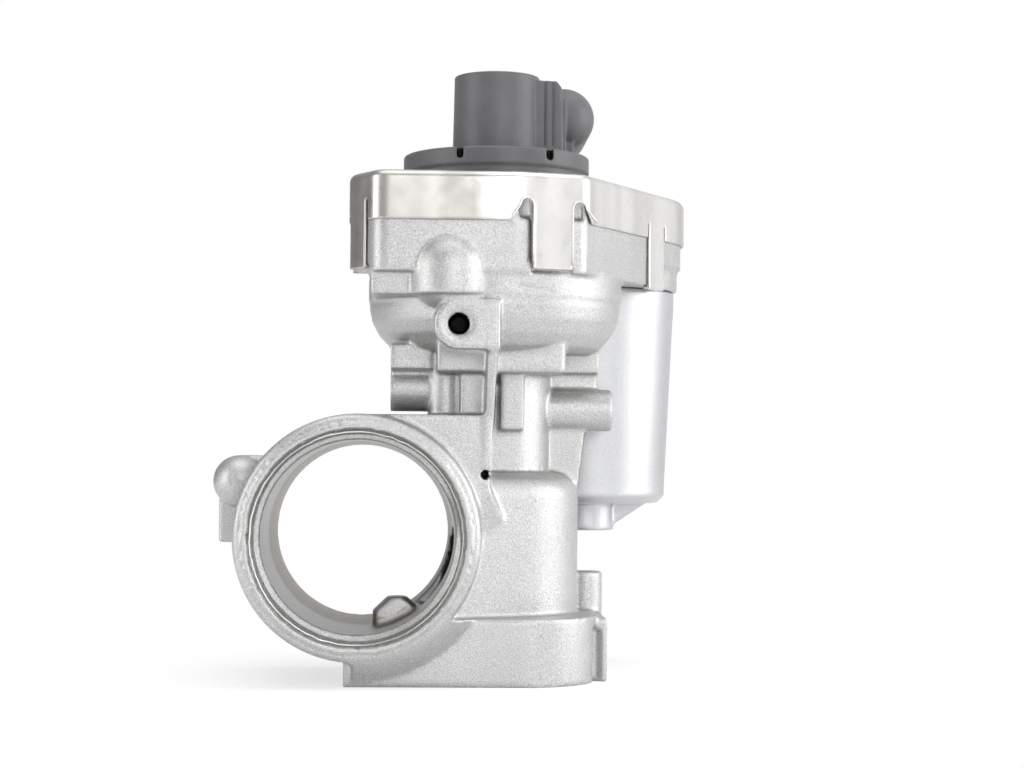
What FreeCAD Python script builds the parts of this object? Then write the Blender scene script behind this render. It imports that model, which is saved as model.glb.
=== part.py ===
import FreeCAD, Part
# Electrically driven exhaust gas recirculation valve: castings, cover, position sensor, motor,
# gear train and poppet valve. Millimetres; +Z is up along the valve stem, +X is right and +Y is away
# from the front. The origin is the centre of the gas inlet in the base's bottom face.
import math
import os
import re

import Sketcher
from FreeCAD import Placement, Rotation, Vector

# Driving dimensions, grouped by the piece that they belong to.
SIZES = {
    # base flange
    "base_height": 21.0,
    "base_front": 37.0,
    "base_back": 28.0,
    "base_left": 47.0,
    "base_right": 36.0,
    "base_corner": 25.0,
    "bolt_circle": 65.0,
    "bolt_angle": 18.0,
    "bolt_hole": 3.4,
    "bolt_boss": 5.6,
    "bolt_boss_top": 33.5,
    "inner_boss": 7.8,
    "inner_boss_top": 26.4,
    "inlet_recess": 20.0,
    "inlet_recess_depth": 4.0,
    "inlet_bore": 18.5,
    # valve chamber and neck
    "chamber_radius": 27.5,
    "chamber_top": 66.0,
    "chamber_fillet": 8.0,
    "chamber_bore": 21.0,
    "chamber_ceiling": 48.0,
    "window_width": 26.0,
    "window_low": 22.0,
    "neck_radius": 18.0,
    "stem_bore": 5.5,
    # air pipe
    "pipe_offset": 43.0,
    "pipe_height": 46.0,
    "pipe_front": 45.0,
    "pipe_bead": 38.0,
    "pipe_mouth": 34.3,
    "pipe_seat": 32.2,
    "pipe_seat_depth": 8.0,
    "pipe_bore": 30.0,
    "pipe_throat": 28.5,
    "pipe_blend": 44.5,
    "flange_radius": 43.8,
    "flange_angle": 158.3,
    "flange_boss": 8.6,
    "flange_hole": 2.5,
    "flange_hole_depth": 14.0,
    "flange_thickness": 8.0,
    # plate, ear and stubs on the neck
    "plate_front": 36.0,
    "plate_top": 84.0,
    "ear_across": 12.5,
    "ear_height": 111.8,
    "ear_radius": 7.8,
    "ear_hole": 3.1,
    "ear_thickness": 7.0,
    "ear_front": 42.5,
    "left_stub_end": 33.6,
    "left_stub_height": 92.1,
    "right_stub_end": 38.4,
    "right_stub_height": 86.4,
    "stub_radius": 6.85,
    # bowl and gear case
    "bowl_bottom": 104.4,
    "bowl_radius": 40.8,
    "bowl_floor": 108.5,
    "bowl_wall": 4.8,
    "spring_chamber": 16.5,
    "ledge_low": 121.0,
    "case_low": 128.0,
    "case_top": 156.0,
    "dome_radius": 12.6,
    "dome_across": 15.6,
    "case_wall": 3.0,
    "floor_thickness": 3.0,
    "front_wall": 43.0,
    "facet_wall": 42.9,
    "chamfer_wall": 54.8,
    "left_wall": 46.9,
    "lobe_radius": 33.9,
    "lobe_relief": 1.2,
    "lobe_relief_top": 135.6,
    # cover
    "sheet": 1.0,
    "cover_gap": 0.1,
    "gasket_thickness": 2.2,
    "skirt_low": 143.8,
    "cover_edge": 2.6,
    "tab_length": 17.0,
    "tab_width": 12.0,
    "left_tab_width": 9.2,
    "front_tab_width": 12.8,
    "tab_lip": 1.6,
    "cover_hole": 21.0,
    "gasket_inset": 2.8,
    # gear train
    "gear_module": 1.0,
    "output_teeth": 50.0,
    "idler_teeth": 31.0,
    "pinion_teeth": 12.0,
    "train_angle": 51.4,
    "backlash": 0.14,
    "output_face": 5.5,
    "idler_face": 5.0,
    "pinion_face": 8.0,
    "gear_gap": 2.0,
    "running_gap": 0.04,
    # cam sleeve and stem
    "valve_lift": 7.0,
    "cam_turn": 90.0,
    "stem_radius": 3.0,
    "stem_top": 167.0,
    "pin_radius": 1.5,
    "pin_reach": 10.5,
    "pin_height": 149.0,
    "pin_gap": 0.3,
    "slot_lead": 14.0,
    "sleeve_radius": 7.0,
    "sleeve_bore": 3.6,
    "sleeve_top": 155.0,
    "sleeve_flange": 20.0,
    "hub_radius": 11.0,
    "hub_top": 153.0,
    "bush_wall": 2.0,
    # valve
    "seat_height": 5.0,
    "seat_bore": 13.0,
    "seat_ledge": 3.2,
    "head_radius": 14.2,
    "head_gap": 0.2,
    "guide_length": 30.0,
    "retainer_radius": 12.0,
    "retainer_thickness": 2.0,
    "retainer_gap": 3.0,
    "spring_radius": 9.5,
    "spring_wire": 0.85,
    "spring_turns": 4.0,
    # motor can and motor
    "can_radius": 30.5,
    "can_foot_radius": 27.6,
    "can_low": 55.5,
    "can_foot_height": 5.5,
    "can_bore": 24.3,
    "can_boss_radius": 10.2,
    "can_boss_low": 46.0,
    "can_screw_circle": 27.2,
    "can_gap": 0.6,
    "motor_radius": 24.0,
    "motor_wall": 1.7,
    "shaft_radius": 2.0,
    "shaft_bush": 5.0,
    "armature_radius": 18.6,
    "air_gap": 0.7,
    "motor_screw_circle": 14.0,
    "screw_radius": 1.5,
    "screw_head": 2.6,
    "screw_head_height": 2.2,
    "pilot_radius": 8.0,
    "axle_radius": 2.5,
    # position sensor
    "disc_radius": 30.3,
    "disc_seat": 2.0,
    "disc_thickness": 7.5,
    "tower_radius": 13.9,
    "tower_height": 26.2,
    "tower_bore": 10.0,
    "spigot_depth": 5.0,
    "board_radius": 17.6,
    "coil_bore": 5.8,
    "plunger_radius": 4.5,
    "plunger_low": 163.0,
    "plunger_length": 22.0,
    "barrel_radius": 10.2,
    "barrel_across": 22.8,
    "barrel_rise": 15.1,
    "barrel_front": 13.0,
    "barrel_back": 46.0,
    "barrel_bore": 8.4,
    "barrel_floor": 24.0,
    "contact_pitch": 2.6,
    "contact_size": 0.7,
}

PRESSURE_ANGLE = 25.0
ADDENDUM = 0.8
DEDENDUM = 1.1

doc = FreeCAD.newDocument("egr_valve")
sheet = doc.addObject("Spreadsheet::Sheet", "Sizes")
for row, (alias, number) in enumerate(SIZES.items(), start=1):
    sheet.set(f"A{row}", alias)
    sheet.set(f"B{row}", str(number))
    sheet.setAlias(f"B{row}", alias)
doc.recompute()
probe = doc.addObject("App::FeaturePython", "Probe")
probe.addProperty("App::PropertyFloat", "Reading")
nodes = {}


def formula(text):
    """The text with each size's name pointed at its cell in the sheet."""
    return re.sub(
        r"[a-z][a-z_]*", lambda w: f"Sizes.{w.group()}" if w.group() in SIZES else w.group(), str(text)
    )


def reading(text):
    """The present value of a formula, as a number."""
    probe.setExpression("Reading", formula(text))
    probe.recompute()
    return probe.Reading


def bind(thing, **formulas):
    """Ties properties of a document object to formulas of the sizes."""
    for name, text in formulas.items():
        thing.setExpression(name, formula(text))


def place(thing, x=0, y=0, z=0):
    """Ties the place of a document object to formulas of the sizes."""
    for axis, text in zip("xyz", (x, y, z)):
        thing.setExpression(f"Placement.Base.{axis}", formula(text))


AXES = {"Z": Rotation(), "Y": Rotation(Vector(1, 0, 0), -90), "X": Rotation(Vector(0, 1, 0), 90)}


def cylinder(name, radius, height, x=0, y=0, z=0, axis="Z"):
    """A cylinder that starts at the point and runs along the axis."""
    made = doc.addObject("Part::Cylinder", name)
    made.Placement = Placement(Vector(), AXES[axis])
    bind(made, Radius=radius, Height=height)
    place(made, x, y, z)
    return made


def cone(name, low_radius, high_radius, height, x=0, y=0, z=0, axis="Z"):
    """A cone frustum that starts at the point and runs along the axis."""
    made = doc.addObject("Part::Cone", name)
    made.Placement = Placement(Vector(), AXES[axis])
    bind(made, Radius1=low_radius, Radius2=high_radius, Height=height)
    place(made, x, y, z)
    return made


def ball(name, radius, x=0, y=0, z=0):
    """A sphere about the point."""
    made = doc.addObject("Part::Sphere", name)
    bind(made, Radius=radius)
    place(made, x, y, z)
    return made


def block(name, x_range, y_range, z_range):
    """A box between three pairs of formulas."""
    made = doc.addObject("Part::Box", name)
    pairs = (x_range, y_range, z_range)
    for side, (low, high) in zip(("Length", "Width", "Height"), pairs):
        bind(made, **{side: f"({high}) - ({low})"})
    place(made, *[low for low, high in pairs])
    return made


def fuse(name, *parts):
    """One solid made of several."""
    made = doc.addObject("Part::MultiFuse", name)
    made.Shapes = list(parts)
    made.Refine = False
    return made


def cut(name, base, *tools):
    """The base with the tools taken away."""
    made = doc.addObject("Part::Cut", name)
    made.Base = base
    made.Tool = tools[0] if len(tools) == 1 else fuse(name + "_tools", *tools)
    made.Refine = False
    return made


def common(name, first, second):
    """What two solids share."""
    made = doc.addObject("Part::Common", name)
    made.Base = first
    made.Tool = second
    made.Refine = False
    return made


def ties(sketch, geometry, end, across, along):
    """Holds one end of a sketch line at a pair of formulas."""
    for kind, text in (("DistanceX", across), ("DistanceY", along)):
        number = sketch.addConstraint(
            Sketcher.Constraint(kind, -1, 1, geometry, end, reading(text))
        )
        sketch.setExpression(f"Constraints[{number}]", formula(text))


def draw_polygon(sketch, corners):
    """A closed outline of straight lines with each corner tied to formulas."""
    points = [Vector(reading(a), reading(b), 0) for a, b in corners]
    lines = [
        sketch.addGeometry(Part.LineSegment(p, q), False)
        for p, q in zip(points, points[1:] + points[:1])
    ]
    for line, following in zip(lines, lines[1:] + lines[:1]):
        sketch.addConstraint(Sketcher.Constraint("Coincident", line, 2, following, 1))
    for line, (across, along) in zip(lines, corners):
        ties(sketch, line, 1, across, along)


def turned(name, corners):
    """A turned piece: a body with a half section of (radius, height) corners spun about the stem axis."""
    body = doc.addObject("PartDesign::Body", name)
    sketch = body.newObject("Sketcher::SketchObject", name + "_section")
    plane = [f for f in body.Origin.OriginFeatures if f.Role == "XZ_Plane"][0]
    sketch.AttachmentSupport = [(plane, "")]
    sketch.MapMode = "FlatFace"
    draw_polygon(sketch, corners)
    spin = body.newObject("PartDesign::Revolution", name + "_turn")
    spin.Profile = sketch
    spin.ReferenceAxis = (sketch, ["V_Axis"])
    spin.Angle = 360
    body.Tip = spin
    return body


PLANES = {"Z": Rotation(), "Y": Rotation(Vector(1, 0, 0), 90), "X": Rotation(Vector(1, 1, 1), 120)}
NORMALS = {"Z": Vector(0, 0, 1), "Y": Vector(0, -1, 0), "X": Vector(1, 0, 0)}


def prism(name, corners, low, high, axis="Z"):
    """A straight-sided outline carried from low to high along an axis.

    The corners are (x, y) along Z, (x, z) along Y and (y, z) along X.
    """
    sketch = doc.addObject("Sketcher::SketchObject", name + "_outline")
    sketch.Placement = Placement(Vector(), PLANES[axis])
    draw_polygon(sketch, corners)
    return carried(name, sketch, low, high, axis)


def carried(name, sketch, low, high, axis="Z"):
    """A sketch carried from low to high along an axis."""
    made = doc.addObject("Part::Extrusion", name)
    made.Base = sketch
    made.DirMode = "Custom"
    made.Dir = NORMALS[axis]
    made.Solid = True
    if axis == "Y":
        low, high = f"-({high})", f"-({low})"
    bind(made, LengthFwd=high, LengthRev=f"-({low})")
    return made


def rounded(name, base, radius, test):
    """The base with a fillet of that radius on each edge that passes the test."""
    doc.recompute()
    made = doc.addObject("Part::Fillet", name)
    made.Base = base
    size = reading(radius)
    made.Edges = [(i, size, size) for i, edge in enumerate(base.Shape.Edges, start=1) if test(edge)]
    return made


def node(name, thing):
    """Names a finished piece."""
    thing.Label = name
    nodes[name] = thing
    return thing


# Places that several pieces share
MOTOR_DISTANCE = "gear_module * (output_teeth + idler_teeth + 2 * pinion_teeth) / 2"
IDLER_DISTANCE = "gear_module * (output_teeth + pinion_teeth) / 2"
MOTOR_X = f"({MOTOR_DISTANCE}) * cos(train_angle)"
MOTOR_Y = f"({MOTOR_DISTANCE}) * sin(train_angle)"
IDLER_X = f"({IDLER_DISTANCE}) * cos(train_angle)"
IDLER_Y = f"({IDLER_DISTANCE}) * sin(train_angle)"
FLOOR_TOP = "case_low + floor_thickness"
CASE_INSET = "sheet + cover_gap"
CAVITY_INSET = "sheet + cover_gap + case_wall"
BOLT_X = "bolt_circle / 2 * cos(bolt_angle)"
BOLT_Y = "bolt_circle / 2 * sin(bolt_angle)"
FLANGE_X = "flange_radius * cos(flange_angle)"
FLANGE_Z = "flange_radius * sin(flange_angle)"
SEAT_TOP = "base_height - 3"
COVER_TOP = "(case_top + gasket_thickness + sheet)"
DISC_LOW = f"({COVER_TOP} + disc_seat)"
DISC_TOP = f"({DISC_LOW} + disc_thickness)"
TOWER_TOP = f"({DISC_TOP} + tower_height)"
BARREL_HEIGHT = f"({DISC_TOP} + barrel_rise)"
CAN_BAND = "(can_low + can_foot_height)"
RETAINER_TOP = "(case_low - retainer_gap)"
SEAT_LOW = f"({SEAT_TOP}) - seat_height"


def motor_polar(circle, angle):
    """The place at an angle on a circle about the motor's axis."""
    return f"{MOTOR_X} + ({circle}) * cos({angle})", f"{MOTOR_Y} + ({circle}) * sin({angle})"


# Gear case outline: straight walls given by the direction that they face, their distance from the
# stem axis and the rounding to the next wall. The round end is the lobe about the motor.
def wall_to_lobe(facing):
    """The distance from the stem axis of a wall that touches the lobe."""
    return f"({MOTOR_DISTANCE}) * cos(train_angle - ({facing})) + lobe_radius"


CASE_WALLS = [
    (-90, "front_wall", "14"),
    (-72.4, "facet_wall", "6"),
    (-30, wall_to_lobe(-30), "lobe_radius"),
    (144, wall_to_lobe(144), "14"),
    (180, "left_wall", "7"),
    (210, "chamfer_wall", "7"),
]


def case_outline(name, inset):
    """A sketch of the gear case outline, moved in by the inset, with every wall and radius tied."""
    sketch = doc.addObject("Sketcher::SketchObject", name + "_outline")
    facing = [math.radians(f) for f, d, r in CASE_WALLS]
    distance = [reading(f"{d} - ({inset})") for f, d, r in CASE_WALLS]
    radius = [reading(f"{r} - ({inset})") for f, d, r in CASE_WALLS]
    count = len(CASE_WALLS)
    starts, ends, centres = [None] * count, [None] * count, [None] * count
    for i in range(count):
        j = (i + 1) % count
        first = Vector(math.cos(facing[i]), math.sin(facing[i]), 0)
        second = Vector(math.cos(facing[j]), math.sin(facing[j]), 0)
        a, b = distance[i] - radius[i], distance[j] - radius[i]
        turn = first.x * second.y - first.y * second.x
        centre = Vector((a * second.y - b * first.y) / turn, (b * first.x - a * second.x) / turn, 0)
        centres[i] = centre
        ends[i] = centre + first * radius[i]
        starts[j] = centre + second * radius[i]
    lines = [sketch.addGeometry(Part.LineSegment(starts[i], ends[i]), False) for i in range(count)]
    arcs = []
    for i in range(count):
        low, high = facing[i], facing[(i + 1) % count]
        circle = Part.Circle(centres[i], Vector(0, 0, 1), radius[i])
        high = high if high > low else high + 2 * math.pi
        arcs.append(sketch.addGeometry(Part.ArcOfCircle(circle, low, high), False))
    for i in range(count):
        sketch.addConstraint(Sketcher.Constraint("Tangent", lines[i], 2, arcs[i], 1))
        sketch.addConstraint(Sketcher.Constraint("Tangent", arcs[i], 2, lines[(i + 1) % count], 1))
        held = [
            (Sketcher.Constraint("Angle", lines[i], facing[i] + math.pi / 2), None),
            (Sketcher.Constraint("Distance", -1, 1, lines[i], distance[i]), f"{CASE_WALLS[i][1]} - ({inset})"),
            (Sketcher.Constraint("Radius", arcs[i], radius[i]), f"{CASE_WALLS[i][2]} - ({inset})"),
        ]
        for constraint, text in held:
            number = sketch.addConstraint(constraint)
            if text:
                sketch.setExpression(f"Constraints[{number}]", formula(text))
    return sketch


def case_prism(name, inset, low, high):
    """The gear case outline, moved in by the inset and carried from low to high."""
    return carried(name, case_outline(name, inset), low, high)


# Main casting
def base_flange():
    """The flange block with its large rounded corner, end plate and the two bolt bosses."""
    corner_x = "8"
    corner_y = "-(base_front - base_corner)"
    parts = [
        block("base_block", ("-base_left", corner_x), ("-base_front", "base_back"), ("0", "base_height")),
        cylinder("base_round", "base_corner", "base_height", corner_x, corner_y, 0),
        block("base_end", ("0", "base_corner + 8"), (corner_y, "base_back"), ("0", "base_height")),
        block("base_tip", ("0", "base_right"), (f"{corner_y} - 6", "base_back - 4"), ("0", "base_height - 1")),
        cylinder("boss_right", "bolt_boss", "bolt_boss_top", BOLT_X, BOLT_Y, 0),
    ]
    notch = cylinder("base_notch", "2.4", "base_height - 4", "base_corner + 7", "-(base_front - base_corner) - 7", 0)
    return cut("base_flange", fuse("base_solid", *parts), notch)


def chamber():
    """The round valve chamber with the flat flank towards the pipe and its domed shoulder."""
    slope = 23.35
    flank_x, flank_y = f"chamber_radius * sin({slope})", f"-chamber_radius * cos({slope})"
    bend = "-14"
    flank = prism(
        "chamber_flank",
        [
            ("-pipe_offset", "-plate_front"),
            (bend, "-plate_front"),
            (flank_x, flank_y),
            ("0", "0"),
            ("-pipe_offset", "0"),
        ],
        "0",
        "chamber_top",
    )
    raw = fuse("chamber_raw", cylinder("chamber_round", "chamber_radius", "chamber_top"), flank)

    def shoulder(edge):
        box = edge.BoundBox
        return abs(box.ZMin - raw.Shape.BoundBox.ZMax) < 0.01 and box.XMax > -5

    return rounded("chamber", raw, "chamber_fillet", shoulder)


def plate_foot():
    """The slanted facet that leads the plate's lower corner into the chamber's flank."""
    corners = [("-14", "pipe_height - 2"), ("-2", "chamber_top - 5"), ("3", "chamber_top - 16")]
    column = prism("plate_foot_column", corners, "-plate_front", "-20", "Y")
    facing = Rotation(Vector(0, 0, 1), Vector(0.474, -0.811, -0.344))
    keep = doc.addObject("Part::Box", "plate_foot_keep")
    bind(keep, Length="60", Width="60", Height="40")
    corner = facing.multVec(Vector(-30, -30, -40))
    keep.Placement = Placement(Vector(), facing)
    place(keep, f"-14 + ({corner.x})", f"-plate_front + ({corner.y})", f"pipe_height - 2 + ({corner.z})")
    return common("plate_foot", column, keep)


def air_pipe():
    """The air pipe with its bead, the bridge to the chamber and the rear flange."""
    bead_edge = cone(
        "pipe_bead_edge", "pipe_bead - 1.5", "pipe_bead", "1.5", "-pipe_offset", "-pipe_front", "pipe_height", "Y"
    )
    barrel = cylinder(
        "pipe_barrel", "pipe_bead", "pipe_front + base_back - 1.5", "-pipe_offset", "-pipe_front + 1.5",
        "pipe_height", "Y",
    )
    bridge = block(
        "pipe_bridge", ("-pipe_offset", "0"), ("-chamber_radius", "chamber_radius - 6"), ("0", "chamber_top - 2")
    )
    plate = prism(
        "plate",
        [
            ("-pipe_offset", "pipe_height"),
            ("-14", "pipe_height"),
            ("-2.4", "chamber_top - 6"),
            ("-1.4", "plate_top"),
            ("-pipe_offset", "plate_top"),
        ],
        "-plate_front",
        "-6",
        "Y",
    )
    skirt = block("pipe_skirt", ("-base_left", "-20"), ("-base_front", "base_back"), ("0", "pipe_height - 10"))
    blend = common(
        "pipe_blend",
        cone(
            "pipe_blend_cone", "pipe_bead", "pipe_blend", "pipe_front - base_front - 1", "-pipe_offset",
            "-pipe_front + 1.2", "pipe_height", "Y",
        ),
        block("pipe_blend_part", ("-base_left + 2.7", "0"), ("-pipe_front", "-base_front + 1"), ("0.5", "base_height")),
    )
    return [bead_edge, barrel, bridge, plate, skirt, blend]


def rear_flange():
    """The two-bolt rear flange: bosses with domed noses and the plate between them and the pipe."""
    parts = []
    for side, sign in (("left", ""), ("right", "-")):
        x = f"-pipe_offset + {sign}({FLANGE_X})" if sign else f"-pipe_offset + {FLANGE_X}"
        z = f"pipe_height + {sign}({FLANGE_Z})" if sign else f"pipe_height + {FLANGE_Z}"
        length = "flange_hole_depth"
        parts.append(cylinder(f"flange_boss_{side}", "flange_boss", length, x, f"base_back - {length}", z, "Y"))
        parts.append(ball(f"flange_nose_{side}", "flange_boss", x, f"base_back - {length}", z))
    left = f"-pipe_offset + {FLANGE_X}"
    parts.append(
        block(
            "flange_plate",
            (f"{left} - 7.2", "-pipe_offset"),
            ("base_back - flange_thickness", "base_back"),
            ("pipe_height - 4.3", "pipe_height + 14"),
        )
    )
    parts.append(
        block(
            "flange_web",
            (left, "-pipe_offset"),
            ("base_back - flange_hole_depth", "base_back"),
            ("pipe_height", f"pipe_height + {FLANGE_Z} + flange_boss"),
        )
    )
    return parts


def neck():
    """The neck between chamber and bowl: core, stubs, web, blocks and ribs."""
    top = "bowl_bottom + 2"
    parts = [
        cylinder("neck_core", "neck_radius", f"{top} - 60", 0, 0, 60),
        cylinder("stub_right", "stub_radius", "right_stub_end", 0, 0, "right_stub_height", "X"),
        cylinder("stub_left", "stub_radius", "left_stub_end", "-left_stub_end", "-13", "left_stub_height", "X"),
        block("block_left", ("-left_stub_end", "-20.8"), ("-22", "0"), ("left_stub_height + stub_radius - 0.5", top)),
        cylinder("column_left", "5", f"{top} - plate_top + 4", "-16.5", "-17", "plate_top - 4"),
        block("rib_left", ("-11.6", "-4"), ("-26", "-6"), ("plate_top - 4", top)),
        block("block_middle", ("-19", "-3.6"), ("-30", "-6"), ("bowl_bottom - 7", top)),
        block("block_right", ("-1", "19"), ("-29", "-6"), ("bowl_bottom - 7", top)),
        cylinder("block_right_end", "2.6", f"{top} - bowl_bottom + 7", "19", "-26.4", "bowl_bottom - 7"),
        block("block_right_side", ("0", "21.6"), ("-26.4", "-6"), ("bowl_bottom - 7", top)),
        block("rib_right", ("1", "8.6"), ("-24", "-6"), ("79.5", top)),
        block("block_rear", ("14", "34"), ("-3", "12"), ("bowl_bottom - 6", top)),
        block("block_rear_neck", ("12", "33.4"), ("-1", "11"), ("right_stub_height", "bowl_bottom - 5")),
    ]
    web = prism(
        "neck_web",
        [("0", "60"), ("27", "60"), ("29.6", "right_stub_height - 5"), ("29.6", "right_stub_height"), ("0", "right_stub_height")],
        "-3",
        "4",
        "Y",
    )
    blade_face = prism(
        "blade_face",
        [
            ("-5", "chamber_top - 6"),
            ("-2.4", "chamber_top - 6"),
            ("-0.3", "bowl_bottom"),
            ("0.3", "ear_height + ear_radius - 2"),
            ("-3", "ear_height + ear_radius - 2"),
            ("-3.4", "bowl_bottom"),
        ],
        "-60",
        "0",
        "Y",
    )
    blade_side = prism(
        "blade_side",
        [
            ("-plate_front", "chamber_top - 8"),
            ("-plate_front - 0.4", "plate_top"),
            ("-ear_front + 1", "bowl_bottom"),
            ("-ear_front + 1", "ear_height + ear_radius"),
            ("-8", "ear_height + ear_radius"),
            ("-8", "chamber_top - 8"),
        ],
        "-20",
        "20",
        "X",
    )
    blade = common("ear_blade", blade_face, blade_side)
    return parts + [web, blade]


def ear():
    """The bracket ear with its round end, standing in front of the bowl."""
    back = "-ear_front + ear_thickness"
    depth = f"{back} + ear_front"
    round_end = cylinder("ear_round", "ear_radius", depth, "-ear_across", "-ear_front", "ear_height", "Y")
    flat = block(
        "ear_flat",
        ("-ear_across", "0.3"),
        ("-ear_front", back),
        ("ear_height - ear_radius", "ear_height + ear_radius"),
    )
    return [round_end, flat]


def bowl():
    """The round bowl under the gear case, with the ledge above its parting line."""
    section = [
        ("0", "bowl_bottom"),
        ("bowl_radius - 10.5", "bowl_bottom"),
        ("bowl_radius - 7", "bowl_bottom + 1.6"),
        ("bowl_radius - 3.3", "bowl_bottom + 5.4"),
        ("bowl_radius - 0.9", "bowl_bottom + 9.8"),
        ("bowl_radius", "bowl_bottom + 14"),
        ("bowl_radius", "ledge_low"),
        ("bowl_radius + 0.4", "ledge_low"),
        ("bowl_radius + 0.4", "case_low + 1"),
        ("0", "case_low + 1"),
    ]
    return turned("bowl", section)


def gear_case_shell():
    """The rim casting, the flat ledge at its left and the domed boss on its front wall."""
    shell = case_prism("case_rim", CASE_INSET, "case_low", "case_top")
    relief = prism(
        "rim_relief",
        [
            ("-left_wall - 9", "case_low - 5"),
            ("-left_wall + 8.4", "case_low - 5"),
            ("-left_wall + 8.4", "case_low"),
            ("-left_wall", "case_low + 4.6"),
            ("-left_wall - 9", "case_low + 4.6"),
        ],
        "-26.5",
        "70",
        "Y",
    )
    ledge = block("ledge_left", ("-39.8", "-14"), ("-38.2", "0"), ("ledge_low", "case_low + 1"))
    boss_y = "-(front_wall - dome_radius + 3.6)"
    boss = cylinder("case_boss", "dome_radius", "case_low + 1 - ledge_low", "-dome_across", boss_y, "ledge_low")
    dome = ball("case_dome", "dome_radius", "-dome_across", boss_y, "case_low + 1")
    lobe_step = common(
        "lobe_step",
        cut(
            "lobe_ring",
            cylinder("lobe_ring_outer", "lobe_radius + 3", "lobe_relief_top - case_low + 1", MOTOR_X, MOTOR_Y, "case_low - 1"),
            cylinder("lobe_ring_inner", "lobe_radius - sheet - cover_gap - lobe_relief", "40", MOTOR_X, MOTOR_Y, "case_low - 5"),
        ),
        wall_block("lobe_step_part", 2, "75", "60", ("-5", "60"), ("case_low - 2", "lobe_relief_top")),
    )
    return [cut("rim_relieved", shell, relief, lobe_step), ledge, boss, dome]


CAN_SCREW_ANGLES = (-30, 53, 136)
MOTOR_SCREW_TURNS = (90, 270)


def flange_place(side):
    """The place of a rear flange hole, on either side of the pipe."""
    sign = 1 if side == "left" else -1
    return f"-pipe_offset + {sign} * ({FLANGE_X})", f"pipe_height + {sign} * ({FLANGE_Z})"


def body_openings():
    """The cast hollows: gear case, bowl, motor pocket, chamber, window and pipe bore."""
    bowl_hollow = cut(
        "bowl_hollow",
        cylinder("bowl_hollow_round", "bowl_radius - bowl_wall", f"{FLOOR_TOP} - bowl_floor + 1", z="bowl_floor"),
        cylinder("spring_tower", "spring_chamber + 5.5", "60", z="bowl_floor - 10"),
        cylinder("can_keep", "can_radius + can_gap + 3", "60", MOTOR_X, MOTOR_Y, "bowl_floor - 10"),
    )
    return [
        case_prism("case_hollow", CAVITY_INSET, FLOOR_TOP, "case_top + 5"),
        bowl_hollow,
        cone(
            "can_pocket", "can_foot_radius + can_gap", "can_radius + can_gap", "case_low - can_low + 1", MOTOR_X,
            MOTOR_Y, "can_low - 1",
        ),
        cylinder("can_pocket_top", "can_radius + can_gap", "14", MOTOR_X, MOTOR_Y, "case_low - 14"),
        cylinder("can_boss_pocket", "can_boss_radius + 1.5", "20", MOTOR_X, MOTOR_Y, "can_boss_low - 1.5"),
        cylinder("spring_chamber_cut", "spring_chamber", f"{FLOOR_TOP} - bowl_floor + 1", z="bowl_floor"),
        cylinder("chamber_bore_cut", "chamber_bore", "chamber_ceiling - 4 - base_height", z="base_height"),
        cone("chamber_roof_cut", "chamber_bore", "chamber_bore - 8", "4", z="chamber_ceiling - 4"),
        block(
            "window_cut",
            ("-pipe_offset + 10", "0"),
            ("-window_width / 2", "window_width / 2"),
            ("window_low", "chamber_ceiling - 2"),
        ),
        cylinder(
            "pipe_bore_cut", "pipe_bore", "pipe_front - 8", "-pipe_offset", "-pipe_front", "pipe_height", "Y"
        ),
        cone(
            "pipe_throat_cut", "pipe_bore", "pipe_throat", "base_back + 8 + 1", "-pipe_offset", "-8",
            "pipe_height", "Y",
        ),
    ]


def inner_boss():
    """The domed boss over the left base bolt hole, standing up into the pipe bore with a slanted facet."""
    x, y = f"-({BOLT_X})", f"-({BOLT_Y})"
    stem = cylinder("boss_stem", "inner_boss", "inner_boss_top - 4.6", x, y, "0")
    top = cone("boss_top", "inner_boss", "inner_boss - 4.8", "4.6", x, y, "inner_boss_top - 4.6")
    facet = block("boss_facet", ("-20", "0"), ("-20", "0"), ("0", "30"))
    facet.Placement = Placement(Vector(), Rotation(Vector(1, 0, 0), -6))
    place(facet, f"{x} - 10", f"{y} - inner_boss - 17.6", "10")
    return [cut("inner_boss", fuse("inner_boss_solid", stem, top), facet)]


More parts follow.
